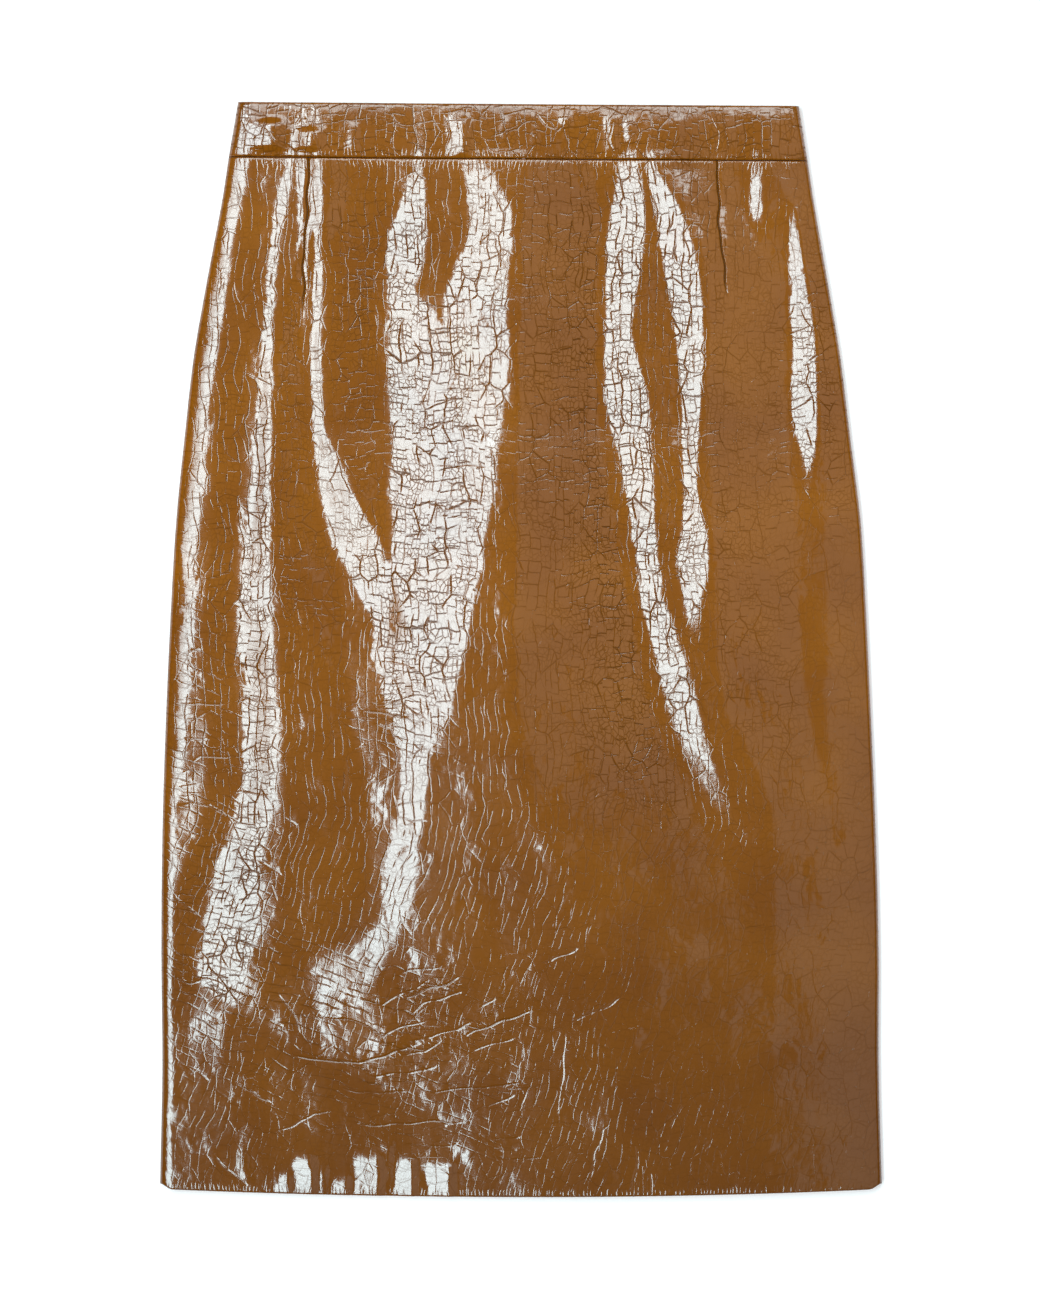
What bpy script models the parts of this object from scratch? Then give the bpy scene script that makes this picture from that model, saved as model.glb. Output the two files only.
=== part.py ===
"""A leather midi pencil skirt laid out flat on its back, built from the pieces that are cut and sewn.

Frame: X runs across the skirt, +Y points to the waist, +Z up. The surface that it lies on is z = 0.
Sizes and tables are in millimetres; MM turns them to metres when the points are placed.
"Down" is the distance from the waistband's top edge towards the hem. "Share" runs from -1 at the
left side edge, as the skirt is seen from above, to +1 at the right one.
"""

import math

import bmesh
import bpy

MM = 0.001

# ---- driving sizes -------------------------------------------------------------------------
LENGTH = 700.0  # top of the waistband to the hem, at the centre front
WAISTBAND = 35.0  # finished height of the waistband
SEAM_GAP = 0.3  # between pieces that are sewn edge to edge
LEATHER = 1.2  # one layer of the bonded leather
WAISTBAND_WALL = 3.0  # two layers and the seam allowances turned in between them
HEM_TURN_UP = 30.0  # the hem is folded up inside and glued, so its wall is double
WAIST_DIP = 0.3  # the waistband's edges sit this much lower at the centre
WAIST_TILT = 2.6  # and it was laid with its right end this much lower than its left one
HEM_RISE = 5.2  # the hem climbs this much towards the side seams
HEM_CORNER = 3.4  # and then rounds off at the corner
CORNER_SHARE = 0.035  # the corner's part of the half width

# The outline from the front: half of the flat width, and how far its middle lies off the centre
OUTLINE = (
    # down, half_width, middle
    (0.0, 179.5, -1.6),
    (36.0, 185.3, -1.8),
    (62.0, 189.2, -1.8),
    (113.0, 198.3, -2.2),
    (164.0, 206.9, -2.4),
    (216.0, 213.0, -2.2),
    (267.0, 218.7, -1.6),
    (318.0, 221.9, -1.6),
    (394.0, 225.4, -1.6),
    (471.0, 228.2, -1.2),
    (548.0, 229.5, -0.6),
    (624.0, 229.2, -0.3),
    (700.0, 230.9, 0.0),
)

# The rolled side edges, where the side seams run
SEAM_HEIGHT = 5.2  # of the side seams above the surface
SEAM_STAND = 0.8  # the walls stand upright for this much on both sides of the seam
FRONT_ROLL = 4.8  # outer radius of the front's roll
BACK_ROLL = SEAM_HEIGHT - SEAM_GAP - SEAM_STAND
LEFT_SLOPE = 0.25  # rise over run where each roll meets the front's shoulder
RIGHT_SLOPE = 0.16

# Where each roll levels out into the front, and how far the front puffs up at its centre
SHOULDERS = (
    # down, width of the left one, width of the right one, crown
    (36.0, 13.0, 12.0, 1.8),
    (90.0, 13.0, 13.0, 2.8),
    (190.0, 13.0, 15.0, 2.8),
    (350.0, 14.0, 26.0, 2.0),
    (480.0, 15.0, 34.0, 1.2),
    (600.0, 9.0, 34.0, 1.5),
    (700.0, 6.0, 34.0, 1.5),
)

# The sides of the front's soft folds. Each one lifts the leather, or with a minus drops it, as it
# is crossed from left to right. From and to are measured from the centre.
FOLD_BEND = 4.0  # length over which a side bends at its foot and at its crest
FOLDS = {
    # down, from, to, slope
    "left_ridge": (
        (40, -152, -144, 0.05),
        (88, -161, -153, 0.10),
        (191, -169, -158, 0.11),
        (318, -181, -159, 0.11),
        (478, -182, -160, 0.10),
        (574, -203, -174, 0.09),
        (644, -218, -189, 0.0),
    ),
    "right_of_dart": (
        (40, -135, -127, 0.08),
        (203, -134, -126, 0.10),
        (254, -127, -107, 0.11),
        (306, -107, -85, 0.11),
        (350, -90, -77, 0.0),
    ),
    "main_left": (
        (40, -71, -58, 0.06),
        (88, -85, -53, 0.085),
        (191, -86, -47, 0.078),
        (376, -90, -62, 0.08),
        (459, -79, -52, 0.085),
        (542, -118, -90, 0.09),
        (587, -128, -96, 0.0),
    ),
    "main_right": (
        (40, -35, -13, 0.07),
        (88, -48, -1, 0.085),
        (191, -52, -7, 0.08),
        (318, -57, -28, 0.085),
        (376, -66, -41, 0.08),
        (433, -65, -45, 0.0),
    ),
    "slim_left": (
        (40, 59, 77, 0.12),
        (88, 52, 81, 0.16),
        (191, 52, 84, 0.155),
        (280, 70, 89, 0.16),
        (382, 90, 116, 0.14),
        (446, 123, 144, 0.07),
        (497, 148, 159, 0.0),
    ),
    "slim_right": (
        (40, 78, 88, 0.10),
        (88, 86, 112, 0.17),
        (191, 100, 117, 0.16),
        (293, 96, 123, 0.16),
        (357, 108, 121, 0.0),
    ),
    "hip": (
        (56, 169, 177, 0.0),
        (127, 169, 187, 0.18),
        (203, 171, 191, 0.18),
        (238, 178, 187, 0.0),
    ),
    "left_trough": (
        (127, -191, -166, -0.02),
        (318, -201, -181, -0.03),
        (542, -205, -191, -0.02),
        (640, -200, -70, -0.025),
        (696, -200, -70, -0.03),
    ),
    "dart_trough": (
        (40, -125, -112, -0.04),
        (127, -155, -135, -0.06),
        (254, -159, -128, -0.07),
        (382, -155, -109, -0.06),
        (510, -158, -98, -0.05),
        (638, -170, -128, 0.0),
    ),
    "upper_trough": (
        (40, -125, -87, -0.04),
        (191, -125, -88, -0.055),
        (286, -94, -84, -0.04),
        (318, -90, -84, 0.0),
    ),
    "centre_fall": (
        (40, -1, 50, -0.05),
        (127, -1, 49, -0.115),
        (254, -4, 58, -0.11),
        (382, -7, 86, -0.09),
        (491, 25, 137, -0.04),
        (606, 50, 166, -0.015),
    ),
    "right_fall": (
        (40, 94, 140, -0.06),
        (127, 122, 167, -0.12),
        (254, 122, 175, -0.11),
        (382, 127, 185, -0.06),
        (510, 159, 204, -0.045),
        (696, 159, 204, -0.035),
    ),
    "hip_fall": (
        (40, 159, 169, -0.05),
        (127, 188, 197, -0.08),
        (235, 192, 210, -0.02),
        (318, 192, 210, 0.0),
    ),
}

# The two stitched darts of the front
DARTS = (
    # name, share of the width inside the rolls, end
    ("left", -0.715, 138.0),
    ("right", 0.689, 122.0),
)
DART_GROOVE = 0.5  # depth of the stitched line
DART_HALF_SHARE = 0.008  # half of its width, as a share
DART_FADE = 40.0  # length over which it runs out

# The waistband is stiffer than the skirt: it stands a little proud and calms the folds
BAND_PROUD = 0.5
BAND_CALM = 12.6  # height that it tends to, at the sides
BAND_CROWN = 1.6  # and how much more at the centre
BAND_STIFFNESS = 0.6  # part of the folds that is gone at its top edge

# The concealed zip at the centre back
ZIP_END = 200.0  # down to its lower end
ZIP_SLOT = 5.2  # between the ends of the waistband, where the slider parks
TAPE_WIDTH = 24.0
TAPE_THICK = 0.8
COIL_LOW = 2.2  # height of the coil's outer side, above the pull
COIL_WIDTH = 4.4
COIL_THICK = 0.9
SLIDER_DOWN = 7.0  # to the middle of the slider
SLIDER_WIDTH = 4.4
SLIDER_LENGTH = 8.0
SLIDER_THICK = 1.4
BRIDGE_LOW = 0.25  # the bridge that holds the pull, on the slider's outer side
BRIDGE_WIDTH = 1.2
BRIDGE_LENGTH = 4.4
BRIDGE_THICK = 0.45
BRIDGE_LEG = 0.7
PIVOT_HEIGHT = 1.45  # of the axis that the pull turns on
PULL_THICK = 0.7
PULL_LENGTH = 22.0
PULL_NECK = 3.2  # width at the slider
PULL_WIDTH = 4.2  # and at its rounded end
PULL_EYE = (1.8, 2.6)  # width and length of the eye that the bridge passes through

BROWN = (0.25, 0.08, 0.008, 1.0)
TAPE_BROWN = (0.12, 0.045, 0.012, 1.0)
BRASS = (0.45, 0.33, 0.16, 1.0)


# ---- curves and heights --------------------------------------------------------------------
def spread(low, high, steps):
    return [low + (high - low) * i / steps for i in range(steps + 1)]


def ease(share):
    """0 up to 0, 1 from 1, and a smooth climb between."""
    share = min(max(share, 0.0), 1.0)
    return share * share * (3 - 2 * share)


def smooth_curve(knots, values, where):
    """The smooth curve through the values at the knots, level beyond the first and the last."""
    if where <= knots[0]:
        return values[0]
    if where >= knots[-1]:
        return values[-1]
    last = len(knots) - 1
    i = next(k for k in range(last) if where < knots[k + 1])

    def slope(k):
        low, high = max(k - 1, 0), min(k + 1, last)
        return (values[high] - values[low]) / (knots[high] - knots[low])

    span = knots[i + 1] - knots[i]
    t = (where - knots[i]) / span
    line = values[i] * (2 * t**3 - 3 * t**2 + 1) + values[i + 1] * (3 * t**2 - 2 * t**3)
    return line + span * (slope(i) * (t**3 - 2 * t**2 + t) + slope(i + 1) * (t**3 - t**2))


def along_table(rows, column, down):
    """A column of a table as a smooth curve over its first column, which is down."""
    return smooth_curve([row[0] for row in rows], [row[column] for row in rows], down)


def half_width(down):
    return along_table(OUTLINE, 1, down)


def middle(down):
    return along_table(OUTLINE, 2, down)


def waist_edge(share):
    """Down to the waistband's top edge."""
    return WAIST_DIP * (1 - share * share) + WAIST_TILT * (1 + share) / 2


def hem_edge(share):
    """Down to the hem."""
    corner = ease((abs(share) - 1 + CORNER_SHARE) / CORNER_SHARE)
    return LENGTH - HEM_RISE * share * share - HEM_CORNER * corner


def panel_down(share, level):
    """Down to a point of a panel, whose level runs from the waistband seam to LENGTH at the hem."""
    start = WAISTBAND + SEAM_GAP
    run = (level - start) / (LENGTH - start)
    top = waist_edge(share) + start
    return top + (hem_edge(share) - top) * run


def roll_run(slope):
    """How far in from the side edge the front's roll ends, where it is no steeper than this."""
    return FRONT_ROLL * (1 - math.sin(math.atan(slope)))


def roll_rise(slope):
    return FRONT_ROLL * math.cos(math.atan(slope))


def shoulder(inward, width, slope):
    """Height gained this far in from the roll, with a slope that dies away over the width."""
    share = min(max(inward / width, 0.0), 1.0)
    return slope * width * (share - share * share / 2)


def fold_ramp(share, bend):
    """0 up to 0 and 1 from 1, with a steady climb between but for the bends at its ends."""
    share = min(max(share, 0.0), 1.0)
    steep = 1 / (1 - bend)
    if share < bend:
        return steep * share * share / (2 * bend)
    if share > 1 - bend:
        return 1 - steep * (1 - share) ** 2 / (2 * bend)
    return steep * (share - bend / 2)


def front_height(across, down):
    """Height of the front's outer face inside its rolls. Across is measured from the middle."""
    half = half_width(down)
    share = min(max(across / half, -1.0), 1.0)
    passed = (share + 1) / 2
    left_wide, right_wide = along_table(SHOULDERS, 1, down), along_table(SHOULDERS, 2, down)
    left = roll_rise(LEFT_SLOPE) + shoulder(half + across - roll_run(LEFT_SLOPE), left_wide, LEFT_SLOPE)
    right = roll_rise(RIGHT_SLOPE) + shoulder(half - across - roll_run(RIGHT_SLOPE), right_wide, RIGHT_SLOPE)
    height = SEAM_HEIGHT + SEAM_STAND + left + (right - left) * passed
    height += along_table(SHOULDERS, 3, down) * (1 - share * share) ** 2
    for rows in FOLDS.values():
        start, end = along_table(rows, 1, down), along_table(rows, 2, down)
        width = end - start
        bend = min(max(FOLD_BEND / width, 0.1), 0.45)
        rise = width * along_table(rows, 3, down)
        height += rise * (fold_ramp((across + middle(down) - start) / width, bend) - passed)
    return height


def band_height(across, down):
    """Height of the waistband's outer face: the folds' at its seam, calmer towards its top edge."""
    at_seam = front_height(across, WAISTBAND) + BAND_PROUD
    share = across / half_width(down)
    calm = BAND_CALM + BAND_CROWN * (1 - share * share)
    return at_seam + (calm - at_seam) * BAND_STIFFNESS * ease(1 - down / WAISTBAND)


# ---- making a piece of cloth ---------------------------------------------------------------
def material(name, colour, roughness, metallic=0.0):
    made = bpy.data.materials.new(name)
    made.use_nodes = True
    shader = made.node_tree.nodes["Principled BSDF"]
    shader.inputs["Base Color"].default_value = colour
    shader.inputs["Roughness"].default_value = roughness
    shader.inputs["Metallic"].default_value = metallic
    return made


def add_object(name, form, finish):
    """The bmesh as an object."""
    mesh = bpy.data.meshes.new(name)
    form.to_mesh(mesh)
    form.free()
    mesh.materials.append(finish)
    made = bpy.data.objects.new(name, mesh)
    bpy.context.scene.collection.objects.link(made)
    return made


def cloth(name, columns, levels, place, wall, finish, outside, single_above=None):
    """A wall of cloth, grown inwards from its outer face.

    place() puts the grid point of a column and a level on that face, in (across, down, up).
    outside is 1 where the face looks up and -1 where it looks down. Above single_above, the
    wall is one layer of leather; below it, the whole wall.
    """
    form = bmesh.new()
    bmesh.ops.create_grid(form, x_segments=len(columns) - 1, y_segments=len(levels) - 1, size=0.5)
    double = []
    for vertex in form.verts:
        column = columns[round((vertex.co.x + 0.5) * (len(columns) - 1))]
        level = levels[round((0.5 - vertex.co.y) * (len(levels) - 1))]
        across, down, up = place(column, level)
        vertex.co = (across * MM, (LENGTH / 2 - down) * MM, up * MM)
        double.append(single_above is None or level > single_above)
    form.normal_update()
    if outside * sum(face.normal.z for face in form.faces) < 0:
        bmesh.ops.reverse_faces(form, faces=form.faces)
    made = add_object(name, form, finish)
    group = made.vertex_groups.new(name="layers")
    for index, whole in enumerate(double):
        group.add([index], 1.0 if whole else LEATHER / wall, "REPLACE")
    solid = made.modifiers.new("wall", "SOLIDIFY")
    solid.thickness = wall * MM
    solid.offset = -1.0
    solid.use_even_offset = True
    solid.vertex_group = group.name
    made.data.shade_smooth()
    return made


# ---- the front -----------------------------------------------------------------------------
ROLL_STEPS = 4
FRONT_STEPS = 46
BAND_LEVELS = (0.0, WAISTBAND * 0.35, WAISTBAND * 0.7, WAISTBAND - 2.0, WAISTBAND)
PANEL_STEPS = 28


def panel_levels():
    """From the waistband seam to the hem, with a short level row at each end and at the turn-up."""
    start = WAISTBAND + SEAM_GAP
    turn_up = LENGTH - HEM_TURN_UP
    return [start] + spread(start + 3.0, turn_up - 1.0, PANEL_STEPS) + [turn_up + 1.0, LENGTH - 9.0, LENGTH]


def front_columns():
    """Across the front: ("seam" or "roll", turn, side) at the sides and ("top", share, 0) between."""
    shares = spread(-1.0, 1.0, FRONT_STEPS)
    for _, dart, _ in DARTS:
        shares = [share for share in shares if abs(share - dart) > 2 * DART_HALF_SHARE]
        shares += [dart - DART_HALF_SHARE, dart, dart + DART_HALF_SHARE]
    turns = spread(0.0, 1.0, ROLL_STEPS)[1:]
    left = [("seam", 1.0, -1)] + [("roll", turn, -1) for turn in reversed(turns)]
    right = [("roll", turn, 1) for turn in turns] + [("seam", 1.0, 1)]
    return left + [("top", share, 0) for share in sorted(shares)] + right


def front_section(column, down, height):
    """(across, up) of a column of the front, where height() gives the face between the rolls."""
    kind, share, side = column
    half = half_width(down)
    if kind == "seam":
        return side * half, SEAM_HEIGHT
    if kind == "roll":
        slope = LEFT_SLOPE if side < 0 else RIGHT_SLOPE
        end = side * (half - roll_run(slope))
        base = SEAM_HEIGHT + SEAM_STAND
        lean = math.atan(slope) + (math.pi / 2 - math.atan(slope)) * share
        across = side * (half - FRONT_ROLL * (1 - math.sin(lean)))
        return across, base + (height(end, down) - base) * math.cos(lean) / math.cos(math.atan(slope))
    ends = (-half + roll_run(LEFT_SLOPE), half - roll_run(RIGHT_SLOPE))
    across = ends[0] + (ends[1] - ends[0]) * (share + 1) / 2
    return across, height(across, down)


def dart_depth(column, down):
    for _, share, end in DARTS:
        if column[0] == "top" and abs(column[1] - share) < DART_HALF_SHARE / 2:
            return DART_GROOVE * (1 - ease((down - end + DART_FADE) / DART_FADE))
    return 0.0


def place_front(column, level):
    across, up = front_section(column, max(level, panel_levels()[1]), front_height)
    half = half_width(level)
    across *= half / half_width(max(level, panel_levels()[1]))
    return middle(level) + across, panel_down(across / half, level), up - dart_depth(column, level)


def place_front_band(column, level):
    across, up = front_section(column, level, band_height)
    return middle(level) + across, waist_edge(across / half_width(level)) + level, up


# ---- the back ------------------------------------------------------------------------------
BACK_STEPS = 9


def back_columns():
    """Across one half of the back, from the centre back to the side seam."""
    flat = [("flat", share) for share in spread(0.0, 1.0, BACK_STEPS)]
    rolled = [("roll", turn) for turn in spread(0.0, 1.0, ROLL_STEPS)[1:]]
    return flat + rolled + [("seam", 1.0)]


def back_section(column, down, side, inner_end):
    """(across, up) of a column of the back, where across is measured from the centre back."""
    kind, share = column
    edge = middle(down) + side * half_width(down)
    if kind == "flat":
        inner = side * inner_end
        return inner + (edge - side * BACK_ROLL - inner) * share, 0.0
    if kind == "seam":
        return edge, BACK_ROLL + SEAM_STAND
    turn = share * math.pi / 2
    return edge - side * BACK_ROLL * (1 - math.sin(turn)), BACK_ROLL * (1 - math.cos(turn))


def place_back(side):
    def place(column, level):
        across, up = back_section(column, level, side, SEAM_GAP / 2)
        share = (across - middle(level)) / half_width(level)
        return across, panel_down(share, level), up

    return place


def place_back_band(side):
    def place(column, level):
        across, up = back_section(column, level, side, ZIP_SLOT / 2)
        share = (across - middle(level)) / half_width(level)
        return across, waist_edge(share) + level, up

    return place


# ---- the zip -------------------------------------------------------------------------------
def box(name, finish, x, y, z):
    """A box that spans (low, high) along each axis."""
    form = bmesh.new()
    for vertex in bmesh.ops.create_cube(form, size=1.0)["verts"]:
        vertex.co = [(low + (high - low) * (c + 0.5)) * MM for c, (low, high) in zip(vertex.co, (x, y, z))]
    return add_object(name, form, finish)


def combine(base, tools, operation):
    """Adds each tool to the base, or cuts it out, with a modifier."""
    for tool in tools:
        tool.hide_render = True
        tool.display_type = "WIRE"
        step = base.modifiers.new(tool.name, "BOOLEAN")
        step.operation = operation
        step.object = tool
    return base


def make_zip_tape(finish):
    """The tape inside the back, with the closed coil, which runs on between the waistband's ends."""
    waist = LENGTH / 2
    tape_top = waist - WAISTBAND - WAIST_TILT - 2 * SEAM_GAP
    coil_top = waist - SLIDER_DOWN - SLIDER_LENGTH / 2 - SEAM_GAP
    low = LEATHER + SEAM_GAP
    half_tape, half_coil = TAPE_WIDTH / 2, COIL_WIDTH / 2
    tape = box("zip_tape", finish, (-half_tape, half_tape), (waist - ZIP_END, tape_top), (low, low + TAPE_THICK))
    coil_end = waist - ZIP_END + half_coil
    coil = box("coil", finish, (-half_coil, half_coil), (coil_end, coil_top), (COIL_LOW, COIL_LOW + COIL_THICK))
    return combine(tape, [coil], "UNION")


def make_zip_slider(finish):
    """The slider's body, and under it the bridge that the pull hangs on."""
    centre = LENGTH / 2 - SLIDER_DOWN
    half_wide, half_long = SLIDER_WIDTH / 2, SLIDER_LENGTH / 2
    half_bridge, half_span = BRIDGE_WIDTH / 2, BRIDGE_LENGTH / 2
    body = box(
        "zip_slider",
        finish,
        (-half_wide, half_wide),
        (centre - half_long, centre + half_long),
        (COIL_LOW, COIL_LOW + SLIDER_THICK),
    )
    across = (-half_bridge, half_bridge)
    ends = (centre - half_span, centre + half_span)
    bridge = box("bridge", finish, across, ends, (BRIDGE_LOW, COIL_LOW + SLIDER_THICK / 2))
    gap_ends = (ends[0] + BRIDGE_LEG, ends[1] - BRIDGE_LEG)
    gap = box("bridge_gap", finish, (-half_wide, half_wide), gap_ends, (BRIDGE_LOW + BRIDGE_THICK, COIL_LOW))
    combine(bridge, [gap], "DIFFERENCE")
    return combine(body, [bridge], "UNION")


def make_zip_pull(finish):
    """A flat tab with a rounded end. Its eye leaves a bar that turns in the slider's bridge.

    The object's origin is on the axis that it turns on.
    """
    half_bar, half_neck, half_wide = PULL_THICK / 2, PULL_NECK / 2, PULL_WIDTH / 2
    form = bmesh.new()
    arc_centre = -PULL_LENGTH + half_wide
    outline = [(-half_neck, half_bar), (-half_neck, -PULL_EYE[1]), (-half_wide, -2 * PULL_EYE[1])]
    outline += [
        (-half_wide * math.cos(turn), arc_centre - half_wide * math.sin(turn)) for turn in spread(0, math.pi, 8)
    ]
    outline += [(half_wide, -2 * PULL_EYE[1]), (half_neck, -PULL_EYE[1]), (half_neck, half_bar)]
    face = form.faces.new([form.verts.new((x * MM, y * MM, -half_bar * MM)) for x, y in outline])
    grown = bmesh.ops.extrude_face_region(form, geom=[face])["geom"]
    lifted = [item for item in grown if isinstance(item, bmesh.types.BMVert)]
    bmesh.ops.translate(form, verts=lifted, vec=(0, 0, PULL_THICK * MM))
    bmesh.ops.recalc_face_normals(form, faces=form.faces)
    pull = add_object("zip_pull", form, finish)
    half_eye = PULL_EYE[0] / 2
    eye_ends = (-half_bar - PULL_EYE[1], -half_bar)
    eye = box("eye", finish, (-half_eye, half_eye), eye_ends, (-PULL_THICK, PULL_THICK))
    combine(pull, [eye], "DIFFERENCE")
    for item in (pull, eye):
        item.location = (0, (LENGTH / 2 - SLIDER_DOWN) * MM, PIVOT_HEIGHT * MM)
    return pull


def make_skirt():
    for old in list(bpy.data.objects):
        bpy.data.objects.remove(old)
    leather = material("crinkled_patent_leather", BROWN, 0.15)
    tape = material("zip_tape_polyester", TAPE_BROWN, 0.8)
    brass = material("zip_brass", BRASS, 0.3, 1.0)
    levels = panel_levels()
    turn_up = LENGTH - HEM_TURN_UP
    hem_wall = 2 * LEATHER
    cloth("front_panel", front_columns(), levels, place_front, hem_wall, leather, 1, turn_up)
    cloth("waistband_front", front_columns(), BAND_LEVELS, place_front_band, WAISTBAND_WALL, leather, 1)
    for name, side in (("left", -1), ("right", 1)):
        cloth("back_panel_" + name, back_columns(), levels, place_back(side), hem_wall, leather, -1, turn_up)
        band = place_back_band(side)
        cloth("waistband_back_" + name, back_columns(), BAND_LEVELS, band, WAISTBAND_WALL, leather, -1)
    make_zip_tape(tape)
    make_zip_slider(brass)
    make_zip_pull(brass)


make_skirt()
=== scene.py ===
"""A leather midi pencil skirt laid flat on its back, seen from straight above.

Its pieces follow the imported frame: X across, +Y to the waist, +Z up. The tables are in millimetres,
unless they say otherwise.
"Down" is the distance from the waistband's top edge towards the hem, and "across" is from the
centre, to the right as seen from above.
"""

import math

import bmesh
import bpy
import numpy as np
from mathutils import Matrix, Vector, noise


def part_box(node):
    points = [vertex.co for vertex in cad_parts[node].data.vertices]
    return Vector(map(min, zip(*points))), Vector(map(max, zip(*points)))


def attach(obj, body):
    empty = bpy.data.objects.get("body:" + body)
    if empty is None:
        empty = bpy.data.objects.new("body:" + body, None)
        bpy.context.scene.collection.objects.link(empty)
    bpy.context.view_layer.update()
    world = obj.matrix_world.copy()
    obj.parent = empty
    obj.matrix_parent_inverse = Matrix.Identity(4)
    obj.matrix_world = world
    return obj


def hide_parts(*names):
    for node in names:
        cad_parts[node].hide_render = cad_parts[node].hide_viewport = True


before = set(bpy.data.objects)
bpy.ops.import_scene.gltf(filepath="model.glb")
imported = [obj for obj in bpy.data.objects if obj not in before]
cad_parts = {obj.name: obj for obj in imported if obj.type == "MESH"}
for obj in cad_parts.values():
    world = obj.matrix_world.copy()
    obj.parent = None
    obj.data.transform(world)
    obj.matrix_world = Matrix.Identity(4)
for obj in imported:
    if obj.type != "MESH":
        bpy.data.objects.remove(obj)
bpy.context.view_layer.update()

# ---- The front -----------------------------------------------------------------------------
# One piece of crinkled patent leather with two stitched darts, and with its hem turned up inside.
# It lies on the back in soft folds that run down from the waist, and rolls under at the sides to
# meet the back at the side seams.
MM = 0.001
LENGTH = 700.0
WAISTBAND = 35.0
SEAM_GAP = 0.3
LEATHER = 1.2
HEM_TURN_UP = 30.0
WAIST_DIP = 0.3
WAIST_TILT = 2.6  # how much lower the waist's right end is
HEM_RISE = 5.2  # of the hem towards both sides, and how much more at its corners
HEM_CORNER = 3.4
CORNER_SHARE = 0.035
SEAM_HEIGHT = 5.2  # of the side seams above the surface, and of the rolls' feet above the seams
SEAM_STAND = 0.8
FRONT_ROLL = 4.8  # radius of the rolls at the sides, and the slopes of the front where they end
LEFT_SLOPE = 0.25
RIGHT_SLOPE = 0.16
FOLD_BEND = 4.0  # length over which the side of a fold bends
PANEL_TOP = WAISTBAND + SEAM_GAP
OUTLINE = (
    # down, half width, middle
    (0.0, 179.5, -1.6),
    (36.0, 185.3, -1.8),
    (62.0, 189.2, -1.8),
    (113.0, 198.3, -2.2),
    (164.0, 206.9, -2.4),
    (216.0, 213.0, -2.2),
    (267.0, 218.7, -1.6),
    (318.0, 221.9, -1.6),
    (394.0, 225.4, -1.6),
    (471.0, 228.2, -1.2),
    (548.0, 229.5, -0.6),
    (624.0, 229.2, -0.3),
    (700.0, 230.9, 0.0),
)
SHOULDERS = (
    # down, width of the left one, width of the right one, crown
    (36.0, 13.0, 12.0, 1.8),
    (90.0, 13.0, 13.0, 2.8),
    (190.0, 13.0, 15.0, 2.8),
    (350.0, 13.0, 26.0, 2.0),
    (420.0, 9.0, 30.0, 1.6),
    (480.0, 4.0, 34.0, 1.2),
    (600.0, 2.0, 34.0, 1.0),
    (700.0, 2.0, 34.0, 0.8),
)
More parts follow.
